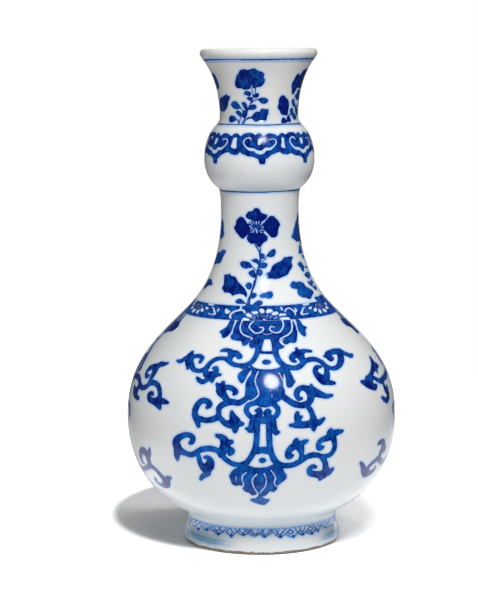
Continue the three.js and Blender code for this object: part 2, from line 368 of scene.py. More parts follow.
# Cobalt laid on with a brush under the glaze: a dark outline, a lighter wash inside it that pools
# and streaks, and a faint bleed into the glaze outside. Edge is the distance in mm from the
# nearest painted outline, less than nought inside it, and Depth is how strong the wash is.
cobalt_brushwork, ends_in, ends_out = new_group(
    "cobalt_brushwork",
    [
        ("Ground", "NodeSocketColor"),
        ("Dark", "NodeSocketColor"),
        ("Wash", "NodeSocketColor"),
        ("Bleed", "NodeSocketColor"),
        ("Edge", "NodeSocketFloat"),
        ("Depth", "NodeSocketFloat"),
    ],
    [("Color", "NodeSocketColor")],
)
tree = cobalt_brushwork
shake = math_of(tree, "MULTIPLY_ADD", noise(tree, 620.0, 2.0), 0.36, -0.18)
edge = math_of(tree, "ADD", ends_in.outputs["Edge"], shake)
laid = ramp(tree, edge, 0.26, -0.14)
outline = ramp(tree, edge, -0.75, -0.15, 0.36, 0.70)
pool = ramp(tree, noise(tree, 230.0, 3.0), 0.30, 0.70, 0.0, 0.50)
streak = ramp(tree, noise(tree, 900.0, 2.0, (1.0, 1.0, 0.35)), 0.35, 0.7, -0.18, 0.18)
load = math_of(tree, "SUBTRACT", ends_in.outputs["Depth"], 1.0)
strength = math_of(tree, "ADD", math_of(tree, "ADD", outline, streak), pool)
strength = math_of(tree, "ADD", strength, load)
strength = node(tree, "ShaderNodeClamp", {0: strength}).outputs[0]
blue = blend(tree, strength, ends_in.outputs["Wash"], ends_in.outputs["Dark"])
thin = ramp(tree, ends_in.outputs["Depth"], 0.1, 0.7)
blue = blend(tree, thin, ends_in.outputs["Bleed"], blue)
bleed = ramp(tree, edge, 1.5, 0.1, 0.0, 0.62)
paper = blend(tree, bleed, ends_in.outputs["Ground"], ends_in.outputs["Bleed"])
tree.links.new(blend(tree, laid, paper, blue), ends_out.inputs["Color"])


def glazed(
    name, pools=(), lines=(), extra_pool_and_shade=None, roughness=0.11, glaze=GLAZE_WHITE, pooled_and_shade=GLAZE_POOL
):
    """Porcelain under a clear glossy glaze. pools are (height, spread, strength) in mm where the
    glaze gathers, and lines are (height, half width, least radius) in mm of drawn rings."""
    made = bpy.data.materials.new(name)
    made.use_nodes = True
    tree = made.node_tree
    shader = tree.nodes["Principled BSDF"]
    shader.inputs["Roughness"].default_value = roughness
    shader.inputs["IOR"].default_value = 1.5
    _, height, radius = around(tree)
    # An extra pool adds more of the pooled colour; on the foot it is partly painted shade.
    pool = extra_pool_and_shade(tree) if extra_pool_and_shade else 0.0
    for level, spread, strength in pools:
        off = math_of(tree, "ABSOLUTE", math_of(tree, "SUBTRACT", height, level))
        pool = math_of(tree, "ADD", pool, ramp(tree, off, spread, 0.0, 0.0, strength))
    ground = use(tree, glaze_ground, {"Glaze": glaze, "Pooled": pooled_and_shade, "Pool": pool})
    edge = node(tree, "ShaderNodeAttribute", attribute_name="painted_edge").outputs["Fac"]
    depth = node(tree, "ShaderNodeAttribute", attribute_name="wash_depth").outputs["Fac"]
    waver = math_of(tree, "MULTIPLY_ADD", noise(tree, 60.0, 1.0), 0.9, -0.45)
    for level, half, least in lines:
        off = math_of(tree, "SUBTRACT", math_of(tree, "ADD", height, waver), level)
        off = math_of(tree, "SUBTRACT", math_of(tree, "ABSOLUTE", off), half)
        inside = math_of(tree, "LESS_THAN", radius, least)
        inward = math_of(tree, "MULTIPLY", inside, UNPAINTED)
        edge = math_of(tree, "MINIMUM", edge, math_of(tree, "ADD", off, inward))
    brushed = use(
        tree,
        cobalt_brushwork,
        {
            "Ground": ground["Color"],
            "Dark": COBALT_DARK,
            "Wash": COBALT_WASH,
            "Bleed": COBALT_BLEED,
            "Edge": edge,
            "Depth": depth,
        },
    )
    tree.links.new(brushed["Color"], shader.inputs["Base Color"])
    bump = node(
        tree, "ShaderNodeBump", {"Strength": 0.35, "Distance": 0.0004, "Height": ground["Height"]}
    )
    tree.links.new(bump.outputs[0], shader.inputs["Normal"])
    return made


def area(*points, depth=1.0):
    """A painted shape, by its outline."""
    return {"points": points, "closed": True, "paint": True, "depth": depth, "spread": 0.0}


def stroke(width, *points, depth=1.0, spread=BRUSH_SPREAD):
    """A brush stroke; a third number in a point is its half width from there on."""
    full = []
    for point in points:
        width = point[2] if len(point) > 2 else width
        full.append((point[0], point[1], width))
    return {
        "points": tuple(full), "closed": False, "paint": True, "depth": depth, "spread": spread
    }


def fine(width, *points, depth=1.0):
    """A line drawn with the tip of the brush."""
    return stroke(width, *points, depth=depth, spread=0.0)


def bare(touch):
    """A shape or line left white."""
    return {**touch, "paint": False, "spread": 0.0}


def dot(angle, level, across, up, depth=1.0):
    """A round touch, its half width in degrees and its half height in mm."""
    turns = [math.tau * i / 10 for i in range(10)]
    return area(
        *[(angle + across * math.cos(t), level + up * math.sin(t)) for t in turns], depth=depth
    )


def moved(touches, turn, lift=0.0, flip_about=None, size=1.0):
    """The same strokes turned round the wall, raised, or mirrored about an angle."""
    copies = []
    for touch in touches:
        points = []
        for point in touch["points"]:
            angle = point[0] if flip_about is None else 2.0 * flip_about - point[0]
            points.append((angle * size + turn, point[1] + lift) + tuple(point[2:]))
        copies.append({**touch, "points": tuple(points)})
    return copies


def toned(touches, more):
    """The same strokes with the wash that much stronger."""
    return [{**touch, "depth": touch["depth"] + more} for touch in touches]


def flowing(points, closed, parts=5):
    """A smooth line through the typed points, as a brush draws it: a centripetal spline."""
    pts = np.array(points, float)
    if closed:
        rows = np.vstack([pts[-1], pts, pts[0], pts[1]])
    else:
        rows = np.vstack([2 * pts[0] - pts[1], pts, 2 * pts[-1] - pts[-2]])
    p0, p1, p2, p3 = rows[:-3], rows[1:-2], rows[2:-1], rows[3:]

    def step(a, b):
        return np.maximum(np.linalg.norm((b - a)[:, :2], axis=1), 1e-3)[:, None] ** 0.5

    t1 = step(p0, p1)
    t2 = t1 + step(p1, p2)
    t3 = t2 + step(p2, p3)
    line = []
    for i in range(parts):
        t = t1 + (t2 - t1) * i / parts
        a1 = ((t1 - t) * p0 + t * p1) / t1
        a2 = ((t2 - t) * p1 + (t - t1) * p2) / (t2 - t1)
        a3 = ((t3 - t) * p2 + (t - t2) * p3) / (t3 - t2)
        b1 = ((t2 - t) * a1 + t * a2) / t2
        b2 = ((t3 - t) * a2 + (t - t1) * a3) / (t3 - t1)
        line.append(((t2 - t) * b1 + (t - t1) * b2) / (t2 - t1))
    line = np.stack(line, 1).reshape(-1, pts.shape[1])
    return line if closed else np.vstack([line, pts[-1]])


def painted(piece, outer, touches, ring=None):
    """Lays the strokes on the outside of a wall, as two numbers at each point of its mesh."""
    mesh = piece.data
    spots = np.empty(len(mesh.vertices) * 3)
    mesh.vertices.foreach_get("co", spots)
    x, y, z = spots.reshape(-1, 3).T * 1000.0
    radius = np.hypot(x, y)
    angle = np.degrees(np.arctan2(x, -y))
    wall_r, wall_z = np.array(outer).T
    slope = np.interp(z, wall_z, np.gradient(wall_r, wall_z))
    outside = radius > np.interp(z, wall_z, wall_r) - 0.2
    per_degree = radius * math.pi / 180.0
    per_height = np.sqrt(1.0 + slope * slope)
    edge = np.full(len(z), UNPAINTED)
    depth = np.ones(len(z))
    if ring:
        band = np.maximum(ring[0] - z, z - ring[1]) * per_height
        edge = np.where(outside, band, edge)
    for touch in touches:
        line = flowing(touch["points"], touch["closed"])
        widest = 0.0 if touch["closed"] else line[:, 2].max()
        middle = (line[:, 0].min() + line[:, 0].max()) / 2.0
        near = (angle - middle + 180.0) % 360.0 - 180.0
        reach = widest + BLEED_REACH
        span = (line[:, 0].max() - line[:, 0].min()) / 2.0
        close = outside & (np.abs(near) * per_degree < span * per_degree + reach)
        close &= (z > line[:, 1].min() - reach) & (z < line[:, 1].max() + reach)
        chosen = np.flatnonzero(close)
        if not len(chosen):
            continue
        turn, level = near[chosen] + middle, z[chosen]
        wide, tall = per_degree[chosen], per_height[chosen]
        best = np.full(len(chosen), 99.0)
        load = np.full(len(chosen), touch["depth"])
        within = np.zeros(len(chosen), bool)
        ends = np.vstack([line[1:], line[:1]]) if touch["closed"] else line[1:]
        for start, end in zip(line, ends):
            dx, dy = (end[0] - start[0]) * wide, (end[1] - start[1]) * tall
            px, py = (turn - start[0]) * wide, (level - start[1]) * tall
            t = np.clip((px * dx + py * dy) / np.maximum(dx * dx + dy * dy, 1e-9), 0.0, 1.0)
            gap = np.hypot(px - t * dx, py - t * dy)
            if touch["closed"]:
                crosses = (start[1] > level) != (end[1] > level)
                rise = end[1] - start[1] if end[1] != start[1] else 1e-9
                at = start[0] + (level - start[1]) / rise * (end[0] - start[0])
                within ^= crosses & (turn < at)
            else:
                half = start[2] + t * (end[2] - start[2])
                gap = gap - half - touch["spread"]
                if touch["spread"]:
                    # Where the brush is pressed down it leaves more cobalt.
                    pressed = np.clip((half - 1.05) / 0.8, 0.0, 1.0) * 0.30 - 0.04
                    load = np.where(gap < best, touch["depth"] + pressed, load)
            best = np.minimum(best, gap)
        if touch["closed"]:
            best = np.where(within, -best, best)
        if touch["paint"]:
            closer = (best < edge[chosen]) & (best < 0.3)
            depth[chosen[closer]] = load[closer]
            edge[chosen] = np.minimum(edge[chosen], best)
        else:
            edge[chosen] = np.maximum(edge[chosen], -best)
    for name, values in (("painted_edge", edge), ("wash_depth", depth)):
        mesh.attributes.new(name, "FLOAT", "POINT").data.foreach_set("value", values)


def bake_map(piece, rows, outer_count):
    """A flat map of a wall, by its outline in mm from the foot of its outside: the outside in two
    strips, its back and its front, and all the rest in a third one. Seams lie at the sides."""
    strip, second_strip, third_strip, third_height, margin = 0.38, 0.40, 0.80, 0.19, 0.001
    mesh = piece.data
    spots = np.empty(len(mesh.vertices) * 3)
    mesh.vertices.foreach_get("co", spots)
    x, y, z = spots.reshape(-1, 3).T * 1000.0
    radius = np.hypot(x, y)
    rows = np.array(rows)
    length = np.concatenate([[0.0], np.cumsum(np.hypot(*np.diff(rows, axis=0).T))])
    levels = np.round(np.stack([radius, z], 1), 2)
    levels, which = np.unique(levels, axis=0, return_inverse=True)
    off = np.hypot(levels[:, :1] - rows[:-1, 0], levels[:, 1:] - rows[:-1, 1])
    along = length[off.argmin(1)][which.ravel()]
    turn = np.degrees(np.arctan2(y, x)) % 360.0
    corners = np.empty(len(mesh.loops), int)
    mesh.loops.foreach_get("vertex_index", corners)
    starts = np.empty(len(mesh.polygons), int)
    mesh.polygons.foreach_get("loop_start", starts)
    counts = np.diff(np.append(starts, len(corners)))
    face = np.repeat(np.arange(len(starts)), counts)
    s, t, pole = along[corners], turn[corners], radius[corners] < 0.01
    least, most = np.minimum.reduceat(s, starts)[face], np.maximum.reduceat(s, starts)[face]
    s = np.where((most - least > length[-1] / 2) & (s < length[-1] / 2), s + length[-1], s)
    most = np.maximum.reduceat(np.where(pole, 0.0, t), starts)[face]
    t = np.where((most > 270.0) & (t < 90.0), t + 360.0, t)
    total = np.add.reduceat(np.where(pole, 0.0, t), starts)
    middle = (total / (counts - np.add.reduceat(pole.astype(int), starts)))[face]
    t = np.where(pole, middle, t)
    edge = length[outer_count - 1]
    outside = (np.add.reduceat(s, starts) / counts)[face] < edge
    second = middle > 180.0
    u = np.where(outside, (t - np.where(second, 180.0, 0.0)) / 180.0, t / 360.0)
    v_out = np.clip(s / edge, 0.0, 1.0) * strip + np.where(second, second_strip, 0.0)
    v_in = third_strip + third_height * np.clip((s - edge) / (length[-1] - edge), 0.0, 1.0)
    v = np.where(outside, v_out, v_in)
    flat = np.stack([u * (1.0 - 2.0 * margin) + margin, v + margin], 1)
    mesh.uv_layers.new(name="OFBake").data.foreach_set("uv", flat.ravel())


def foot_pools_and_shade(tree):
    """Darker blue bands low on the foot, most of them on the left: partly glaze that ran and
    gathered there, partly painted shade and painted reflection.
    """
    angle, height, _ = around(tree)
    left = ramp(tree, angle, -16.0, -50.0)
    left = math_of(tree, "MULTIPLY", left, ramp(tree, angle, -170.0, -130.0))
    right = math_of(tree, "ABSOLUTE", math_of(tree, "SUBTRACT", angle, 100.0))
    right = ramp(tree, right, 60.0, 40.0, 0.0, 0.6)
    uneven = math_of(tree, "MULTIPLY_ADD", noise(tree, 130.0, 2.0), 1.4, -0.7)
    level = math_of(tree, "SUBTRACT", math_of(tree, "ADD", height, uneven), 5.3)
    split = math_of(tree, "SUBTRACT", math_of(tree, "ABSOLUTE", level), 0.75)
    low = ramp(tree, math_of(tree, "ABSOLUTE", split), 1.1, 0.2, 0.45, 1.3)
    low = math_of(tree, "MULTIPLY", low, ramp(tree, math_of(tree, "ABSOLUTE", level), 4.6, 1.6))
    low = math_of(tree, "ADD", low, 0.14)
    low = math_of(tree, "MULTIPLY", math_of(tree, "ADD", left, right), low)
    return math_of(tree, "ADD", low, 0.07)


# The lattice border, as far as it shows from the front. It is repeated round the back.
lattice = [
    fine(0.30, (-66, 11.2), (-63, 12.4), (-60.5, 13.2), depth=1.1),
    fine(0.26, (-66, 9.6), (-62, 10.8), (-57.5, 12.2), (-55.5, 13)),
    fine(0.24, (-61, 9.6), (-59.5, 9.2), (-57.6, 8.7), (-56.6, 9.6), (-56, 11)),
    fine(0.26, (-55.5, 11.3), (-52.5, 10.6), (-50, 10.1), (-47.5, 9.8), (-45.5, 10.6),
         (-43.2, 11.7), (-40.4, 13)),
    fine(0.24, (-54.5, 12.6), (-52, 11.6), (-49.5, 11), (-47.6, 10.7), (-45.5, 11.8), (-43.5, 13)),
    fine(0.24, (-50.6, 12.2), (-49.6, 13), (-47.8, 13.1), (-46.8, 12.2), (-47.6, 11.2)),
    fine(0.28, (-44.5, 11.4), (-42, 10.6), (-39.6, 10), (-37, 9.2), (-35.3, 8.9), (-34.2, 9.7),
         (-31.6, 10.9), (-29.5, 12.2), (-28, 13)),
    fine(0.26, (-42.4, 12.1), (-40, 11), (-38, 10.3), (-36.6, 9.9)),
    fine(0.26, (-40.6, 13), (-38.6, 11.6), (-36.8, 10.7), (-35.2, 11.6), (-33.4, 13)),
    fine(0.26, (-37.2, 13), (-35, 12), (-33, 11), (-31.2, 10.5)),
    fine(0.28, (-29.4, 11), (-27, 10), (-25.4, 9.3), (-24.2, 8.6), (-23, 9.7), (-21.2, 10.9),
         (-19, 11.9), (-17.4, 12.9)),
    fine(0.28, (-28.6, 10.8), (-27.4, 11.9), (-25.8, 12.9), (-24.6, 12), (-23.4, 11.1),
         (-24.6, 10.1)),
    fine(0.24, (-22, 13), (-20.8, 12.2), (-19.4, 11.4), (-18, 10.6), (-16, 10), (-14.8, 9.7)),
    fine(0.24, (-14.8, 9.7), (-13.2, 10.3), (-11.2, 11.3), (-9.8, 12.3), (-8.8, 13.1)),
    fine(0.24, (-18.6, 12.4), (-16.6, 11.3), (-15, 11), (-13.6, 11.9), (-12, 13)),
    fine(0.26, (-15, 13), (-12.2, 11.6), (-10, 10.6), (-7.6, 9.9), (-6, 9.6), (-4.2, 10.4),
         (-2, 11.5), (0.2, 12.9)),
    fine(0.24, (-12.4, 13), (-9.6, 11.8), (-7.2, 10.8), (-5.6, 10.6), (-4, 11.8), (-3.8, 13)),
    fine(0.24, (-10, 13), (-8.2, 12.2), (-7, 11.6)),
    fine(0.28, (-3.4, 11), (-1, 10.1), (1, 9.1), (3.2, 9.9), (5.4, 10.9), (6.6, 12), (7.2, 13)),
    fine(0.26, (-2.2, 11.8), (-0.2, 10.8), (1.6, 10.4), (3.8, 11.4), (5, 12.8)),
    fine(0.24, (-1.2, 13), (0.2, 12.4), (0.6, 11.4)),
    fine(0.24, (5.6, 13), (7, 11.8), (8.6, 10.8), (9.8, 10), (11.6, 9.2), (13.2, 8.6), (15, 9.5),
         (17.2, 10.3), (19, 11.4), (20.6, 12.6)),
    fine(0.26, (9, 13), (10.4, 11.6), (11, 10.6), (13.2, 10), (14.6, 11), (16.6, 12.2), (17.6, 13)),
    fine(0.24, (12, 12.9), (11.2, 11.8), (10.8, 11)),
    fine(0.28, (17, 10.2), (19.4, 9.3), (21.4, 8.6), (23.3, 8.3), (25, 9.1), (26.4, 9.9),
         (28, 10.6), (29.6, 11.4)),
    fine(0.28, (18.4, 11), (20.4, 10.2), (22, 10.1), (23.4, 10.9), (22.4, 11.8), (20.8, 12),
         (19, 11.1)),
    fine(0.26, (24.8, 13), (26, 11.6), (27.4, 10.3), (29.2, 9.3), (31.5, 8.7), (33, 9.5),
         (34.8, 10.2), (37, 11.2), (38.8, 12.4), (39.6, 13)),
    fine(0.26, (29.2, 12.6), (30, 11), (31.2, 10.2), (32.6, 11), (33.8, 12.2), (34.2, 13)),
    fine(0.26, (34, 10.2), (36, 9.4), (38, 8.7), (40, 8.4), (41.6, 9.1), (43.2, 10), (45, 11.2),
         (46.8, 12.6)),
    fine(0.28, (36.2, 11.2), (37.4, 10.2), (38.8, 9.9), (40.6, 10.7), (42, 11.8), (43, 13)),
    fine(0.24, (36.8, 12.8), (38.2, 12.2), (40.2, 11.6)),
    fine(0.26, (41.8, 12.8), (44, 11.2), (46, 10.1), (47.6, 9.5)),
    fine(0.26, (43, 9.9), (44.8, 9.5), (46.5, 9), (47.8, 9.8), (49, 11), (50.4, 12.4)),
    fine(0.24, (46.6, 13), (48, 11.6), (50.6, 10.9)),
    fine(0.24, (50.8, 11.5), (53.6, 10.5), (57.4, 9.6), (59, 10.6), (60.4, 12)),
    fine(0.24, (53, 12.6), (55, 11.5), (57.2, 10.8)),
    fine(0.24, (55.6, 13.1), (57.6, 12.2), (60.4, 11.5)),
    *[area((tip - 1.2, level + 0.9), (tip, level - 0.15), (tip + 1.1, level + 0.9), depth=1.25)
      for tip, level in ((-57.6, 8.7), (-47.5, 9.8), (-35.3, 8.9), (-24.2, 8.6), (-14.8, 9.7),
                         (1.0, 9.1), (13.2, 8.6), (23.3, 8.3), (31.5, 8.7), (40.0, 8.4))],
    fine(0.22, (-66, 13.1), (-57, 13.3), (-47, 13), (-36, 13.2), (-25, 13), (-14, 13.3), (-3, 13.1),
         (8, 13.2), (19, 13), (30, 13.2), (41, 13), (52, 13.1), (61, 13), depth=0.8),
]
# Its middle part and a few teeth close what is left of the ring.
lattice_ring = lattice + moved(lattice, 127.0) + moved(lattice[10:36], 217.5)
lattice_ring += moved(lattice[10:13], -52.0)
lattice_ring = toned(lattice_ring, -0.42)

foot_rise = FOOT_JOINT - JOINT_HALF
foot_outer = [(FOOT_REST, 0.0)]
foot_outer += bend((FOOT_REST, 0.0), (38.9, 0.05), (39.7, 1.1), (FOOT_WIDE, 3.0), 0.45)
foot_outer += bend((FOOT_WIDE, 3.0), (39.45, 7.0), (37.2, 9.9), (FOOT_TOP, foot_rise), 0.3)
foot_outer += [(FOOT_TOP, FOOT_JOINT)]
foot_outline = foot_outer + [(FOOT_TOP - SKIN, FOOT_JOINT), (FOOT_TOP - SKIN, foot_rise)]
foot_outline += [(FOOT_INSIDE, foot_rise)]
foot_outline += bend((FOOT_INSIDE, foot_rise), (33.5, 9.0), (33.9, 3.0), (34.5, 0.7), 1.6)
foot_outline += bend((34.5, 0.7), (34.7, 0.2), (35.0, 0.0), (35.5, 0.0), 0.6)
foot_outline += [(FOOT_REST, 0.0)]
foot = turned("glazed_foot_ring", foot_outline, FOOT_STEPS)
painted(foot, foot_outer, lattice_ring)
bake_map(foot, foot_outline, len(foot_outer))
foot_glaze = glazed(
    "foot_glaze",
    pools=((14.6, 2.2, 0.18), (11.0, 3.0, 0.06)),
    extra_pool_and_shade=foot_pools_and_shade,
    pooled_and_shade=FOOT_POOL_AND_SHADE,
)
tree = foot_glaze.node_tree
shader = tree.nodes["Principled BSDF"]
glaze_color = shader.inputs["Base Color"].links[0].from_socket
_, height, _ = around(tree)
ragged = math_of(tree, "MULTIPLY_ADD", noise(tree, 260.0, 3.0), 2.2, -1.1)
uneven = math_of(tree, "ADD", height, ragged)
unglazed = ramp(tree, uneven, BARE_EDGE + RAGGED, BARE_EDGE - RAGGED)
speck = ramp(tree, noise(tree, 1400.0, 1.0), 0.56, 0.64)
# The bare edge: its own colour, darkened as painted shade where it meets the table, with burnt
# specks.
body = blend(tree, speck, BARE_BODY_AND_SHADE, BURNT_SPECK)
tree.links.new(blend(tree, unglazed, glaze_color, body), shader.inputs["Base Color"])
dull = math_of(tree, "MULTIPLY_ADD", unglazed, 0.60, 0.15)
tree.links.new(dull, shader.inputs["Roughness"])
foot.data.materials.append(foot_glaze)
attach(foot, "root")
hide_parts("foot_ring")

# Slip in the foot joint: a thin ring of fired clay, bare, squeezed out as a bead on the inside.
# The same ring lies in each joint higher up, so its maker stands here once.
SLIP_STEPS = 160
SLIP_BEAD = 0.8
SLIP_COLOR = (0.74, 0.69, 0.60, 1.0)
SLIP_DUSTY = (0.60, 0.53, 0.44, 1.0)

bare_slip = bpy.data.materials.new("bare_slip")
bare_slip.use_nodes = True
tree = bare_slip.node_tree
shader = tree.nodes["Principled BSDF"]
dusty = ramp(tree, noise(tree, 400.0, 3.0), 0.3, 0.7)
tree.links.new(blend(tree, dusty, SLIP_COLOR, SLIP_DUSTY), shader.inputs["Base Color"])
shader.inputs["Roughness"].default_value = 0.75
gritty = node(
    tree, "ShaderNodeBump", {"Strength": 0.4, "Distance": 0.0002, "Height": noise(tree, 1500.0)}
)
tree.links.new(gritty.outputs[0], shader.inputs["Normal"])


def slip_ring(name, replaced, outer, inner, level):
    """The ring in one joint, under the skin of glaze outside, at its middle level in mm."""
    low, high = level - JOINT_HALF, level + JOINT_HALF
    outline = [(outer, low), (outer, high), (inner, high)]
    bead = inner - SLIP_BEAD
    outline += bend((inner, high), (bead, high), (bead, low), (inner, low), 0.3)
    ring = turned(name, outline + [(outer, low)], SLIP_STEPS)
    ring.data.materials.append(bare_slip)
    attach(ring, "root")
    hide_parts(replaced)


slip_ring("foot_slip", "slip_foot", FOOT_TOP - SKIN, FOOT_INSIDE, FOOT_JOINT)

# Lower half of the body: a thrown bowl of white porcelain. It carries the lower part of the four
# pendants painted round the body, each a column of leaves and lotus with scrolls to both sides.
# The strokes are laid out in degrees round the wall from the front, heights and widths in mm.
BODY_STEPS = 740
BODY_WALL = 4.2
CREASE = (39.5, 16.8)
BELLY = 68.5
EQUATOR_JOINT = 65.3
FLOOR_LEVEL = 20.5
FLOOR_RADIUS = 35.3

# The half lotus that hangs from the shoulder band.
crown = toned([
    area(
        (-14.6, 117.8), (-14.8, 114), (-13, 112), (-10, 111), (-7, 110.3), (-5, 110.2),
        (-3, 107.5), (-2.8, 104.4), (2, 103.6), (8.6, 104.2), (8.6, 106), (9.4, 108.2),
        (11, 109), (14, 110.4), (18, 112.3), (21, 115), (22.2, 117.8),
    ),
    area(
        (22.5, 117.8), (23.5, 114), (22.3, 111.5), (20.5, 108.8), (19, 107.9), (16, 108.1),
        (13.3, 107.4), (12, 108.6), (14, 110.2), (18, 112), (20.5, 114.5), (21.5, 117.8),
    ),
    area(
        (24.4, 117.8), (28, 117.8), (29, 115.2), (31, 114.2), (29, 113), (28, 111),
        (26.5, 110.3), (24.8, 111.5), (23.9, 113.5), (24.3, 116),
    ),
    area(
        (5.5, 110), (9.5, 111), (10.2, 109.5), (10.4, 108), (12.5, 106.8), (11.5, 105.9),
        (9, 105.3), (8.4, 104.5), (6, 104.6),
    ),
    area(
        (-18.2, 117.8), (-18.6, 113.5), (-19, 111), (-18, 109.8), (-14.5, 109.2), (-12, 109),
        (-11, 107.5), (-10, 107), (-7.5, 108.3), (-6.5, 109.7), (-7.5, 110.4), (-11, 111.2),
        (-13, 112.3), (-14.5, 114), (-14.8, 117.8),
    ),
    area(
        (-23.2, 117.8), (-19.7, 117.8), (-19.6, 114), (-20, 112), (-22, 110.5), (-24, 110.2),
        (-25.3, 111.5), (-27.5, 112.8), (-25.5, 114), (-24, 115), (-23.3, 116.5),
    ),
    area(
        (-5, 110.2), (-7.2, 107.8), (-7, 107), (-5.5, 106), (-3.5, 106.3), (-3, 104),
        (-0.6, 104.4), (0.4, 109),
    ),
    bare(stroke(0.45, (22, 118), (20, 113.8), (17, 111.8), (13, 110.6), (11, 109.8),
                (10.6, 108.8), (11.5, 107.4, 0.3))),
    bare(stroke(0.35, (25, 118), (24.3, 115.5), (23.5, 113.3))),
    bare(stroke(0.42, (-13.8, 118), (-14.5, 115.5), (-13.5, 113.3), (-11.5, 112), (-8, 111),
                (-5.5, 110.5, 0.3))),
    bare(stroke(0.35, (-17.8, 118), (-19, 115), (-18.8, 112.2))),
    bare(stroke(0.45, (8.5, 114.9, 0.35), (6.5, 115.4), (5.2, 114.3, 0.45), (6.5, 113.2),
                (9, 112.6), (11.5, 112.9), (13.5, 114.2), (15, 115.8), (15, 118))),
    bare(stroke(0.35, (-1.5, 115.1), (0.8, 114.9, 0.45), (1, 113.9), (-1, 112.9), (-4, 112.6),
                (-6.5, 113.8), (-8.3, 115.3), (-7, 117), (-5.5, 117.7, 0.3))),
    bare(stroke(0.28, (0.3, 112.6, 0.2), (3, 111.9, 0.3), (6, 112.4, 0.2))),
], 0.12)
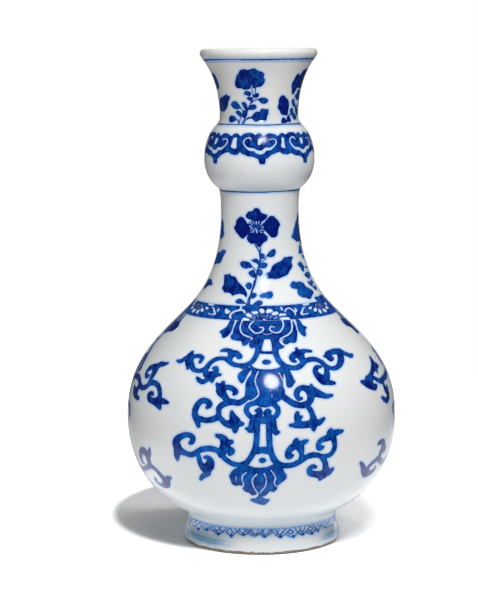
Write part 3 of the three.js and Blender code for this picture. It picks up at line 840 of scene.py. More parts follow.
drop = toned([
    bare(area((1.1, 109.2), (1.3, 109.7), (5.0, 109.7), (5.2, 109.2), (5.5, 105.5), (5.4, 105.0),
              (0.0, 105.0), (-0.2, 105.5))),
    # The flared holder with its eye, and the leafy drop below it.
    stroke(1.1, (7, 106), (7.3, 103), (8.6, 100.3), (10.5, 98.3), (11.2, 97)),
    stroke(1.2, (-2, 106.5), (-2.8, 103.5, 0.9), (-5, 100.3), (-8, 98.8), (-9.4, 98.2, 1.1)),
    area(
        (-6, 99), (-3, 97.4), (3, 96.9), (7, 97.3), (10.4, 98.6), (9.8, 95), (9.3, 92),
        (9, 89), (9.6, 87), (8.5, 84), (6, 82), (4.5, 81), (1, 80.2), (-2, 80.6), (-4, 82.2),
        (-7.2, 84.5), (-7.5, 87), (-7.1, 92), (-5.2, 95),
    ),
    area(
        (-6.8, 98), (-9.3, 96.5), (-11.3, 94.3), (-10.2, 91.5), (-9.2, 90.7), (-7.8, 92.3),
        (-6.6, 95), (-5.5, 97),
    ),
    stroke(1.0, (10.4, 98), (11, 97), (12, 94, 1.4), (12.3, 91, 1.6), (11.8, 89.9, 1.2)),
    stroke(0.7, (13, 91.8), (13.8, 91.2)),
    dot(2.1, 100.1, 2.2, 1.1),
    bare(stroke(0.4, (-2, 96), (-3.3, 92), (-2.2, 88.5), (-1.6, 86), (-3.5, 83.7), (-6, 82.3))),
    bare(stroke(0.36, (-5.1, 96.4), (-6.8, 94), (-7.5, 91.6))),
    bare(stroke(0.36, (7.6, 95.4), (8.7, 93), (9.6, 90.4))),
    bare(stroke(0.3, (3.2, 88.2, 0.2), (3.8, 86), (4.1, 83.4), (4, 81.2, 0.2))),
    # The knot, the split stem and its tassels.
    area((-2.6, 84), (4.4, 84), (4, 80.8), (1.2, 79.8), (-1.8, 80.4)),
    stroke(0.9, (-3, 82), (-6, 80.8), (-6.8, 78.5), (-5.5, 76), (-4, 75), (-2.5, 75.5, 1.15),
           (-1.2, 77, 1.05), (-1.5, 78.6, 0.8), (-2.8, 78.4, 0.4)),
    stroke(0.9, (4.3, 81.5), (6, 79.5), (6.2, 77.5), (5, 75.5), (3.5, 74.8), (2.5, 75.8, 1.1),
           (1.2, 77, 0.85), (2, 78.2, 0.75), (3, 77.8, 0.4)),
    area((-4.4, 75.4), (-0.2, 75.6), (0.4, 75.6), (4.4, 75.2), (3.2, 72.6), (-2.4, 72.6),
         depth=0.75),
    bare(stroke(0.2, (0.2, 80, 0.15), (0.2, 77.6), (0.2, 75.6, 0.12))),
    stroke(1.1, (-2.3, 73.5), (-2.4, 70), (-2.6, 65), (-3.2, 60, 1.15), (-4.5, 57, 1.0),
           (-6.5, 53.5, 0.95), (-9, 51.9)),
    stroke(1.1, (2.3, 73.5), (2.4, 70), (2.5, 65), (2.8, 60), (3.7, 56.5), (5.2, 53.3, 1.2),
           (6.5, 52)),
    stroke(1.25, (-4.2, 73), (-4.8, 70.5, 1.1), (-5.3, 69, 0.9)),
    stroke(0.5, (-5.2, 70.2), (-6.8, 69.8, 0.3)),
    stroke(0.5, (-5, 69), (-4.3, 68.2, 0.3)),
    stroke(1.25, (4, 73.5), (4.4, 70), (5.2, 67.8, 1.0)),
    stroke(0.5, (5.2, 68), (6.4, 68, 0.3)),
    area((-3.2, 60.4), (2.9, 60.4), (3.2, 57.6), (1.7, 57.3), (0, 57.8), (-3, 57.2), (-4, 57.6)),
    area((-9.2, 51.6), (-5.8, 51.5), (-2, 50.1), (1, 50.5), (3.4, 51.8), (6.5, 52.2), (6.8, 50.6),
         (5, 47.4), (-8, 47.4)),
    dot(-0.3, 54.2, 1.5, 1.35),
    # The hanging lotus and the diamond under it.
    area(
        (-8, 51), (-12, 49.7), (-14, 47), (-14.5, 45.5), (-14, 43.5), (-13.5, 41.5),
        (-12, 40.7), (-10.5, 41.1), (-9.4, 40.6), (-9.2, 39.5), (-8, 37.6), (-6.5, 37),
        (-5, 35.6), (-3.8, 35.8), (-2.3, 36.6), (-1.2, 35.8), (0.5, 35.1), (2, 36.5),
        (3, 38), (4.5, 37.3), (6, 39), (6.4, 40.9), (8, 42.5), (9.7, 44.5), (9.9, 46),
        (8.8, 48), (8, 50), (5, 51), (-2, 50.5),
    ),
    bare(stroke(0.4, (-7.1, 48), (-8.8, 46), (-9, 43.5), (-8.6, 41.5), (-9.3, 39.9))),
    bare(stroke(0.4, (-2.5, 47.4), (-4.3, 45), (-4.7, 43), (-4.3, 40.5), (-3.3, 38.3),
                (-2.2, 36.2))),
    bare(stroke(0.38, (0.3, 47.6), (1.2, 45), (1.2, 42.5), (0.6, 40), (-0.7, 38.3),
                (-1.3, 36.8, 0.3))),
    bare(stroke(0.4, (3.2, 49), (4.7, 46.5), (5.2, 44.5), (4.7, 42.5), (5.3, 41), (6.6, 40.2))),
    bare(stroke(0.25, (-11.4, 46.2), (-11.8, 44), (-11.2, 41.8))),
    area(
        (-1.7, 36.5), (-0.5, 34.8), (1, 33.6), (2.8, 33.3), (2.7, 32.3), (1, 30.2),
        (0.3, 29.8), (-1.5, 30.2), (-3.5, 31), (-5.5, 32), (-6.1, 32.9), (-5.3, 33.7),
        (-3.5, 34), (-2.5, 35),
    ),
], -0.10)
right_scrolls = [
    # Upper tier.
    stroke(1.0, (10.5, 98.3), (13, 97.5), (16.5, 97.2), (19, 98.2), (21.5, 99.8),
           (24.5, 100.4), (27.5, 100.2), (30, 99), (31.5, 97.2), (31.5, 95, 1.1),
           (30.5, 92.5, 1.5), (28.5, 90.8, 2.2), (26.5, 92.5, 1.7), (25.3, 95, 1.0),
           (26.8, 96.8, 0.8), (28.8, 96.8, 0.5)),
    stroke(0.9, (20.6, 99.4, 1.0), (20.2, 101, 1.5), (19.5, 102.6, 1.9), (17, 102.8, 1.5),
           (15.2, 101.5, 1.2), (15.4, 100.4, 0.8), (16.6, 99.9, 0.4)),
    stroke(1.9, (19.5, 103), (22.5, 104.2, 0.9), (26.5, 103.9, 0.5)),
    stroke(0.8, (19, 104), (19, 105.4, 0.5)),
    stroke(1.6, (28.5, 90.6), (30, 89.8, 1.2), (32, 89.3, 0.9), (33.5, 89, 0.5)),
    stroke(1.0, (31, 97.6), (34.5, 95.6, 0.8), (38, 95.8, 0.9), (41, 97.5, 1.3),
           (43.5, 100.5, 1.8), (43, 102.3, 1.5), (39, 102.5, 1.2), (35.5, 101.5, 1.3),
           (36, 100, 1.4), (37.5, 100, 0.7)),
    stroke(1.0, (35.5, 101.5), (33.3, 101, 0.4)),
    stroke(1.8, (43.6, 101), (44.5, 102.5, 1.4), (47.5, 101, 1.1), (50.5, 99.7, 1.0),
           (52.5, 100, 0.3)),
    # Middle tier.
    stroke(1.15, (6.8, 87.5), (8, 85.5), (10.5, 83), (13.5, 80.9), (17, 80.2), (19.3, 81),
           (20.8, 84, 1.6), (20.5, 86.5, 1.7), (17.5, 88.2, 1.0), (15, 86.8, 1.1),
           (14.6, 84.6, 1.0), (15.5, 83.4, 0.8), (16.6, 83.3, 0.4)),
    stroke(2.2, (21.6, 86.5), (24.5, 85, 1.6), (28, 83.5, 0.9), (30.8, 83.6, 0.4)),
    stroke(0.9, (21.4, 87.4), (21.8, 88.9, 0.5)),
    stroke(1.0, (18, 80.8), (19.8, 78), (20.7, 75, 1.1), (21, 72.5, 1.6), (20.9, 70, 1.4),
           (21, 68.2, 0.5)),
    stroke(1.4, (21.6, 71.6), (23.5, 71.6, 1.1), (25.5, 73, 0.6)),
    stroke(1.5, (20, 71.2), (18, 71, 1.4), (15, 71, 1.3), (12.5, 71, 0.8), (11, 71.1, 0.4)),
    stroke(1.2, (15, 71.5), (14.3, 73, 1.3), (14, 75.2, 1.1), (14.2, 76.6, 0.7)),
    stroke(0.6, (14.4, 74.6), (15.9, 74.8, 0.4)),
]
right_scrolls += toned([
    # Lower tier.
    stroke(1.1, (4, 55), (6, 52.5), (9, 51.3), (12.5, 51.6), (15.5, 53.3), (17.5, 54.8),
           (20.5, 55.8), (23.5, 55.2, 0.9), (25.5, 53.3, 1.0), (26.8, 50.5, 1.1),
           (27.2, 47.5, 1.5)),
    stroke(0.9, (15.5, 53.5), (15.8, 57, 0.95), (14.8, 60.5, 1.8), (13.5, 62.5, 1.6),
           (13.6, 64, 0.6)),
    stroke(1.2, (15, 61.6), (17, 62.7, 0.9), (18.1, 63.2, 0.4)),
    stroke(1.5, (13.8, 61.4), (11.5, 60, 1.35), (10.2, 58, 1.2), (10.5, 56, 1.3),
           (11.9, 56.2, 0.5)),
    stroke(0.8, (23.6, 55), (25.5, 54.7, 0.7), (28.5, 55, 0.9), (30.3, 57.5, 1.0),
           (30.5, 60.5, 1.0), (29.8, 63, 1.4), (28.5, 65.5, 1.9), (28.7, 67.4, 0.6)),
    stroke(1.6, (29.2, 65), (31.5, 65.8, 1.3), (34.3, 66, 0.4)),
    stroke(1.5, (29.4, 64), (26.5, 63.5, 1.2), (23.8, 62.5, 0.95), (22.9, 60.5, 0.95),
           (23.6, 59, 1.15), (25, 59.3, 0.5)),
    stroke(1.6, (27.5, 47.5), (26.5, 45, 2.2), (23.5, 45.5, 1.5), (20.5, 46.5, 1.3),
           (19.6, 48.5, 1.0), (21, 50, 0.8), (22.3, 49.4, 0.6)),
    stroke(1.8, (26, 44.4), (25.5, 43, 0.9)),
    stroke(1.6, (27.4, 45.6), (29.2, 45.6, 1.2), (30.5, 47.2, 0.8)),
], -0.12)
left_scrolls = [
    stroke(0.9, (-6, 99.6), (-8, 98.8), (-11, 98.6), (-14, 99), (-16.5, 100.2, 0.8),
           (-19, 101.3, 0.75), (-22.5, 101.2, 0.85), (-25, 100.2, 0.9), (-26.8, 98.2, 1.0),
           (-27.5, 96, 1.1), (-26.6, 94.2, 1.4), (-24.4, 93.6, 1.8)),
    stroke(0.9, (-16, 99.9, 0.9), (-16.5, 101.5, 1.1), (-15.4, 103.5, 1.6), (-13.3, 103.6, 1.3),
           (-11.6, 102.4, 1.15)),
    stroke(1.4, (-15.8, 103.8), (-18, 104.9, 0.9), (-20.5, 105, 0.7), (-22, 104.6, 0.4)),
    stroke(1.9, (-24, 93.8), (-23, 94, 1.9), (-22, 95.6, 1.1), (-22.5, 97.2, 0.65),
           (-23.8, 96.9, 0.4)),
    stroke(1.2, (-22.4, 94.2), (-19.6, 94.2, 0.4)),
    stroke(1.4, (-23.2, 93), (-23, 91.2, 0.6)),
    stroke(1.4, (-24.6, 92.8), (-25.5, 91.8, 1.0), (-27.5, 90.6, 0.9), (-29.5, 91.3, 0.8),
           (-30.8, 92.2, 0.4)),
    stroke(1.2, (-27, 97.4), (-28, 96.3, 1.1), (-31, 95.3, 0.8), (-34, 95.8, 0.9),
           (-36, 97.3, 1.2), (-38, 98.5, 2.0), (-39.5, 101, 1.8), (-39.3, 102.9, 0.7)),
    stroke(1.4, (-39, 100.6), (-36.5, 101.3, 1.0), (-33.5, 101.7, 0.85), (-31.5, 100.8, 0.85),
           (-31.8, 99.3, 0.7)),
    stroke(1.5, (-39.6, 100), (-41.5, 100.2, 1.0), (-43.5, 98.6, 0.9), (-46.3, 98.6, 0.3)),
    stroke(1.3, (-38, 97.8), (-37.5, 96.1, 0.7)),
    # Middle tier.
    stroke(1.0, (-7, 83.8), (-10, 81.9, 1.1), (-13, 82.2, 1.2), (-16.5, 81, 1.1), (-18.3, 79),
           (-18.3, 76.5, 1.0), (-18.5, 75, 1.1), (-20.5, 73.8), (-23.5, 73, 0.95),
           (-26, 73.4, 1.1), (-28, 73.6, 1.5), (-29, 76.5, 1.3), (-28.3, 79.5, 1.3),
           (-26.5, 81.8, 1.1), (-24, 82, 1.1), (-22.5, 80.5, 1.15), (-23.6, 79.1, 0.6)),
    stroke(1.5, (-27.9, 73.2), (-27, 70.2, 0.8)),
    stroke(1.2, (-13.5, 82.2), (-15, 83, 1.2), (-16.6, 85, 1.4), (-18.4, 87.4, 2.0),
           (-17.7, 90.6, 0.8)),
    stroke(1.4, (-18.8, 88), (-20.4, 90, 0.5)),
    stroke(1.4, (-17.2, 88.2), (-15.5, 88.8, 1.0), (-13, 88.2, 1.0), (-11.5, 86.6, 0.9),
           (-12.4, 85.8, 0.4)),
    stroke(1.0, (-18.4, 75.4), (-17, 73.8), (-15, 72, 1.2), (-12.5, 72, 2.0),
           (-11.3, 72.6, 2.4), (-12.3, 75.5, 1.3), (-12.8, 77.6, 0.5)),
    stroke(1.8, (-11, 72.5), (-8.4, 72, 0.7)),
    stroke(1.8, (-11.4, 71), (-11.3, 68.7, 0.9)),
]
left_scrolls += toned([
    # Lower tier.
    stroke(0.95, (-6.5, 53), (-9.5, 51.8), (-12.5, 52.3, 1.0), (-15.3, 54.3), (-17.3, 57, 1.1),
           (-19.5, 58.9), (-23, 59.3), (-26.3, 58.3, 1.0), (-28.5, 56.5), (-31, 55.3),
           (-34, 56, 1.2), (-36.4, 57, 1.8), (-37.6, 58.6, 2.3), (-38, 61, 1.8),
           (-35.6, 63.7, 1.2), (-32, 65.2, 1.0), (-29.7, 64.2, 1.15), (-29.9, 62.2, 1.0),
           (-31, 61.2, 0.6)),
    stroke(1.8, (-37.8, 56.6), (-38.3, 53.5, 1.3), (-38.3, 51.8, 0.4)),
    stroke(1.3, (-17.4, 56.6), (-16.5, 58.5, 1.8), (-15.3, 62, 2.2), (-16.6, 65.1, 1.3),
           (-18.9, 66, 0.6)),
    stroke(1.4, (-14.8, 62.4), (-12.9, 63.2, 0.9)),
    stroke(1.3, (-15.6, 60), (-12.9, 58.8, 1.4), (-13.6, 57.3, 0.8)),
    stroke(1.0, (-28.2, 57), (-27.5, 55.5), (-26.8, 51.5, 1.2), (-25, 48.5, 1.7),
           (-23.2, 50, 2.1), (-22.1, 52.8, 1.6), (-23.4, 54.8, 0.8), (-24.6, 54.6, 0.4)),
    stroke(1.6, (-24.2, 48), (-24, 46.6, 1.2), (-26.5, 44.8, 0.95), (-28, 43, 0.6)),
], -0.12)
# Scrolls of the two side pendants that show from the front, which run a little differently.
right_pendant_left = [
    area((69.6, 113), (71, 114.6), (73, 115.4), (75, 114.6), (80, 114), (84, 113.4), (84, 107.6),
         (79, 107.2), (76.4, 107.6), (75.6, 109.6), (74, 111), (70.6, 111.8), depth=1.2),
    stroke(0.8, (49.6, 87.5, 0.5), (52, 86.5, 1.4), (55, 85.5, 2.2), (58.5, 83.7, 1.3),
           (60.3, 84.2, 0.6)),
    stroke(2.0, (55, 86), (54, 88, 1.1), (57.5, 88.9, 1.1), (60.5, 90.3, 1.0),
           (63.5, 91.8, 1.3), (66.6, 93, 2.3), (67.5, 96.2, 1.0)),
    stroke(1.8, (67.2, 92.6), (70.6, 92.3, 0.9)),
    stroke(1.4, (66.8, 91.8), (66, 89.7, 0.5)),
    stroke(1.2, (56, 86.8), (60, 88, 0.8), (62.5, 86.5, 0.9), (66, 85.3, 1.1), (70, 85.8, 1.1),
           (75, 86.3, 1.2), (80, 87.6, 1.2), (84, 88.6, 1.2)),
    stroke(1.2, (67.4, 85), (68, 83.2, 1.2), (68.4, 80.7, 1.5), (70.4, 79, 2.0),
           (69.5, 76.6, 1.5), (66.5, 75.5, 1.1), (64, 76.8, 0.95), (62.3, 77.8, 0.4)),
    stroke(1.7, (70.6, 79.6), (71.6, 81.4, 0.9)),
    stroke(0.4, (46.3, 48), (48.5, 46, 1.0), (50.5, 43.3, 1.6), (53.5, 41, 2.0),
           (57, 40.3, 1.3), (60.5, 41.4, 1.25), (60.2, 42.9, 0.5)),
    stroke(1.5, (53, 42.4), (54, 44.5, 1.1), (57, 46.3, 1.0), (60.5, 47.3, 1.2),
           (64, 45.5, 1.1), (69, 43.5, 1.1), (74, 45, 1.1), (79, 49.4, 1.1), (84, 53, 1.1),
           (87, 54.6, 1.1)),
    stroke(1.3, (61, 47.8), (62, 49.7, 1.8), (63.4, 52.8, 2.2), (61.5, 55.7, 1.2),
           (58, 55.8, 0.7)),
    stroke(1.6, (64, 51.6), (66.4, 51, 1.2)),
    stroke(1.1, (75.5, 62), (77, 66, 1.6), (75, 69.5, 1.3), (77.5, 71.5, 0.9), (82, 72, 0.8)),
]
left_pendant_right = [
    area((-67.4, 112), (-69.4, 113.4), (-73, 114), (-80, 113.8), (-88, 113.6), (-88, 108.2),
         (-80, 108.8), (-74, 109.3), (-70, 110), depth=1.2),
    stroke(1.1, (-85, 84.6), (-80, 86.5), (-75, 87, 1.05), (-71, 86, 1.15), (-68, 84, 1.2),
           (-65, 83.3, 1.0), (-61.5, 84.3, 1.1), (-58.5, 86.6, 1.2), (-55, 87, 1.0),
           (-52, 86, 1.1), (-50.3, 84, 1.2), (-49.3, 81.5, 1.4), (-50.2, 79, 2.0),
           (-53.5, 78.7, 1.2), (-56.5, 79.5, 1.25), (-57.4, 81, 1.0), (-55.3, 82.1, 0.8),
           (-54, 81.7, 0.4)),
    stroke(1.2, (-60, 85.6), (-59.5, 89, 1.4), (-59.4, 93.3, 2.2), (-62, 93.8, 1.4),
           (-65.5, 92.4, 1.3), (-66.4, 90.5, 1.0), (-64.5, 88.9, 0.9), (-62.5, 89.4, 0.5)),
    stroke(1.7, (-58.8, 94), (-57.5, 95.5, 1.4), (-54.5, 96, 0.8), (-51.8, 96.8, 0.3)),
    stroke(2.0, (-50.2, 78.5), (-48, 76.5, 1.0)),
    stroke(1.8, (-49.8, 79.4), (-46.5, 79.5, 1.2), (-43.5, 79.3, 0.4)),
    stroke(1.3, (-69, 83.6), (-71, 79.8, 2.1), (-74, 80.6, 1.5), (-75.6, 81.9, 0.7)),
    stroke(1.6, (-70.6, 79), (-68, 78, 1.0), (-65.8, 77.8, 0.6)),
    stroke(1.0, (-86, 53.6), (-82, 49), (-78, 43.8), (-72, 40.6, 0.9), (-66, 42, 0.85),
           (-62, 43.5, 1.0), (-58.5, 45, 1.25), (-55, 43.8, 1.2), (-52.5, 41.4, 1.4),
           (-50.3, 37.8, 2.3), (-54, 35.2, 1.3), (-57.5, 35.2, 1.0), (-60, 36.5, 1.0),
           (-58.6, 37.9, 0.5)),
    stroke(2.0, (-49.4, 38.2), (-46.8, 40.8, 0.9), (-45.2, 41.3, 0.4)),
    stroke(1.3, (-58.8, 45.6), (-58.7, 48, 1.9), (-59.6, 51.5, 2.0), (-63, 51.8, 1.5),
           (-66.5, 48.5, 1.45), (-67.2, 46, 1.0), (-65.2, 44.9, 0.5)),
    stroke(1.8, (-58.6, 50.6), (-56.5, 52, 1.2), (-55.3, 54.5, 0.4)),
    stroke(1.1, (-78, 66), (-76.5, 69, 1.5), (-78.5, 72, 1.2), (-83, 72.4, 0.8)),
]
pendants = crown + drop + right_scrolls + left_scrolls
for side in (-90.0, 90.0):
    pendants += moved(crown, side, size=0.62) + moved(drop, side)
pendants += moved(right_scrolls, 90) + toned(right_pendant_left, 0.15)
pendants += moved(left_scrolls, -90) + toned(left_pendant_right, 0.15)
pendants += moved(crown + drop + right_scrolls + left_scrolls, 180)

base_level = FOOT_JOINT + JOINT_HALF
body_rise = EQUATOR_JOINT - JOINT_HALF
low_outer = [(FOOT_TOP, FOOT_JOINT), (FOOT_TOP, base_level)]
low_outer += bend((FOOT_TOP, base_level), (38.3, 15.3), (38.9, 16.3), CREASE, 0.5)
low_outer += bend(CREASE, (69.36, 30.85), (BELLY, 61.5), (BELLY, EQUATOR_JOINT), 0.65)
low_outline = low_outer + [(BELLY - SKIN, EQUATOR_JOINT), (BELLY - SKIN, body_rise)]
low_outline += inner_side(
    low_outer, BODY_WALL, (BELLY - BODY_WALL, body_rise), (FLOOR_RADIUS, FLOOR_LEVEL), every=9
)
low_outline += [(radius, FLOOR_LEVEL) for radius in (24.0, 12.0, 0.0)]
underside = [(radius, base_level) for radius in (0.0, 12.0, 24.0, 34.0, FOOT_TOP - SKIN)]
underside += [(FOOT_TOP - SKIN, FOOT_JOINT)]
body_glaze = glazed(
    "painted_body_glaze", pools=((15.4, 2.6, 0.30), (20.0, 9.0, 0.06), (22.0, 44.0, 0.05))
)
low_body = turned("painted_lower_body", underside + low_outline, BODY_STEPS)
painted(low_body, low_outer, pendants)
bake_map(low_body, low_outline + underside + low_outline[:1], len(low_outer))
low_body.data.materials.append(body_glaze)
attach(low_body, "root")
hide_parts("lower_body")

# Slip in the joint at the widest part of the body: the same thin ring of fired clay, which lutes
# the two bowls rim to rim.
slip_ring("equator_slip", "slip_equator", BELLY - SKIN, BELLY - BODY_WALL, EQUATOR_JOINT)

# Upper half of the body: a second bowl, set rim to rim on the first. It closes in over the round
# shoulder and carries the upper part of the pendants.
SHOULDER = 39.2
SHOULDER_INSIDE = 33.3
SHOULDER_SLIP = 38.55
SHOULDER_JOINT = 117.9
SHOULDER_BAND = (118.0, 124.35)

top_start = EQUATOR_JOINT + JOINT_HALF
top_rise = SHOULDER_JOINT - JOINT_HALF
shoulder_edge = (SHOULDER, SHOULDER_JOINT)
top_outer = [(BELLY, EQUATOR_JOINT)]
top_outer += bend((BELLY, EQUATOR_JOINT), (BELLY, 92.7), (51.17, 105.8), shoulder_edge, 0.58)
top_outline = top_outer + [(SHOULDER_SLIP, SHOULDER_JOINT), (SHOULDER_SLIP, top_rise)]
top_outline += inner_side(
    top_outer, BODY_WALL, (SHOULDER_INSIDE, top_rise), (BELLY - BODY_WALL, top_start), every=9
)
top_outline += [(BELLY - SKIN, top_start), (BELLY - SKIN, EQUATOR_JOINT), (BELLY, EQUATOR_JOINT)]
top_body = turned("painted_upper_body", top_outline, BODY_STEPS)
painted(top_body, top_outer, pendants, ring=SHOULDER_BAND)
bake_map(top_body, top_outline, len(top_outer))
top_body.data.materials.append(body_glaze)
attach(top_body, "root")
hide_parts("upper_body")

# Slip in the joint under the neck: the same thin ring of fired clay, just below the blue band
# painted round the shoulder.
slip_ring("shoulder_slip", "slip_shoulder", SHOULDER_SLIP, SHOULDER_INSIDE, SHOULDER_JOINT)

# Neck: thrown with a wide base that sweeps up into a slim tube. Four flower sprays grow from the
# blue band round its base, which keeps half blooms and curled leaves in white.
NECK_STEPS = 540
NECK_WALL = 4.0
NECK_SLIM = 19.62
NECK_TOP = 20.5
NECK_JOINT = 179.9
BORE = 15.6

# Half blooms left white in the blue band, standing on its lower edge or hanging from its upper one.
upright_bloom = [bare(touch) for touch in (
    area((-14.3, 118.6), (-13.5, 119.2), (-11.5, 119.15), (-9.5, 118.9), (-8.5, 118.3),
         (-8.7, 117.6), (-13.5, 117.5), (-14.4, 118)),
    area((-12.2, 120.4), (-11.8, 121), (-10, 121.3), (-8.3, 120.9), (-7.2, 120.2),
         (-7.4, 119.5), (-9.5, 119.4), (-11.3, 119.8)),
    area((-8.4, 122), (-7.6, 122.5), (-6, 122.8), (-4, 122.4), (-2.8, 121.8),
         (-2.4, 121.2), (-3.5, 120.9), (-5.5, 120.7), (-7.5, 121.3)),
    area((-2, 122.5), (-1, 123.2), (0.5, 123.3), (2, 122.9), (2.7, 122.3), (2.3, 121.6),
         (1.2, 121.2), (-0.3, 121.2), (-1.4, 121.8)),
    area((5, 123), (7, 123.1), (9, 122.7), (9.4, 122), (8.5, 121.5), (6.5, 121.2),
         (4.5, 121.1), (3.5, 121.5), (4, 122.4)),
    area((9, 121.5), (11, 121.8), (13.5, 121.5), (13.4, 120.8), (12, 120.3),
         (9.8, 120.1), (8.1, 120.5), (8.1, 121)),
    area((13.2, 120.2), (14.5, 120.8), (17, 120.85), (19.5, 120.5), (19.3, 120),
         (16.5, 119.8), (13.5, 119.7)),
    area((13.2, 118.7), (15, 119.15), (17.5, 119.3), (20, 119.1), (21.3, 118.7),
         (21, 118), (17.5, 117.9), (14, 118)),
    stroke(0.22, (-8, 119.3), (-5, 118.5)),
    stroke(0.2, (-6.6, 120.4), (-4.6, 119.1)),
    stroke(0.22, (-3.2, 120.4), (-1.6, 119.2)),
    stroke(0.2, (-0.9, 120.8), (0.7, 119.4)),
    stroke(0.2, (1.5, 120.9), (2.2, 119.5)),
    stroke(0.22, (4.9, 120.5), (3.8, 119.4)),
    stroke(0.2, (8, 120), (5.8, 118.8)),
    stroke(0.22, (12, 119.5), (9, 118.6)),
    stroke(0.35, (1.2, 118.5), (2.4, 118.4), (3.4, 117.9)),
    # Curled leaves either side.
    stroke(0.5, (-12.9, 121.3, 0.4), (-14, 122, 0.55), (-15.8, 122.5, 0.6),
           (-18, 122.4, 0.6), (-21, 121.9, 0.55), (-23.6, 121, 0.6), (-24.3, 120, 0.65),
           (-23.8, 119.2, 0.65), (-22.8, 118.6, 0.3)),
    stroke(0.5, (-17.2, 122.8), (-17.3, 124, 0.6)),
    area((-30.8, 122.5), (-30, 122.9), (-27.5, 122.3), (-25.2, 121.6), (-26, 120.9),
         (-27.5, 120.4), (-29.8, 121), (-30.5, 121.8)),
    area((-38, 122), (-37.3, 122.9), (-36, 122.4), (-36, 121.5), (-37, 121.1),
         (-38, 121.5)),
    stroke(0.6, (16.9, 123.6, 0.4), (16.9, 122.9, 0.62), (17.3, 122.2, 0.3)),
    stroke(0.35, (18.9, 121.4), (19.8, 122.2, 0.42), (21.6, 122.85), (23.5, 123),
           (25.3, 122.4, 0.45), (26.8, 121.4, 0.5), (27.1, 120.5, 0.45),
           (26.4, 119.6, 0.25)),
    stroke(0.6, (28.8, 122.6, 0.5), (29, 121.8, 0.7), (27.8, 121.3, 0.4)),
)]
hanging_bloom = [bare(touch) for touch in (
    area((-52, 124.1), (-50, 124.5), (-47, 124.4), (-43.5, 124), (-44, 123.5),
         (-47, 123.4), (-50, 123.5)),
    area((-52.8, 122.7), (-50.5, 122.7), (-48.5, 122.5), (-48, 121.8), (-49.5, 121.5),
         (-51.5, 121.9)),
    area((-56, 122.2), (-54, 121.7), (-51.5, 121), (-52, 120.4), (-53.5, 120.2),
         (-56, 120.7), (-57, 121.5)),
    area((-60.5, 120.9), (-58, 121), (-56.5, 120), (-57, 119.3), (-58.7, 119.1),
         (-60, 119.7)),
    area((-67, 120.8), (-64.5, 121), (-62.5, 120.5), (-63, 119.5), (-65, 119.1),
         (-67.2, 119.5), (-67.8, 120.2)),
    area((-73.5, 121.7), (-71, 121.6), (-69, 121), (-70, 120.3), (-73, 120.3),
         (-75, 120.9)),
    area((-78, 123.4), (-75.5, 123.2), (-73, 122.6), (-74, 121.9), (-77, 122)),
    area((-79, 124.4), (-75, 124.3), (-72.5, 123.8), (-75, 123.4), (-79, 123.6)),
    stroke(0.2, (-60, 123.4), (-56.6, 122.4)),
    stroke(0.2, (-61, 123), (-59.4, 121.2)),
    stroke(0.2, (-63, 123), (-64.4, 121.2)),
    stroke(0.2, (-64, 123.4), (-68.4, 121.8)),
    stroke(0.5, (-45.2, 122.7, 0.25), (-42.6, 122.5, 0.45), (-41, 121.6, 0.55),
           (-39.5, 120.9, 0.6), (-38.4, 120.1, 0.75), (-40, 119.7, 0.4)),
    stroke(0.35, (-40.6, 119.9), (-43.6, 119.8), (-45.2, 120.3, 0.2)),
)]
shoulder_flowers = []
for turn in (0.0, 120.0, 240.0):
    shoulder_flowers += moved(upright_bloom, turn)
shoulder_flowers += moved(hanging_bloom, 0.0)
for turn in (116.0, 243.0):
    shoulder_flowers += moved(hanging_bloom, turn, flip_about=-61.0)

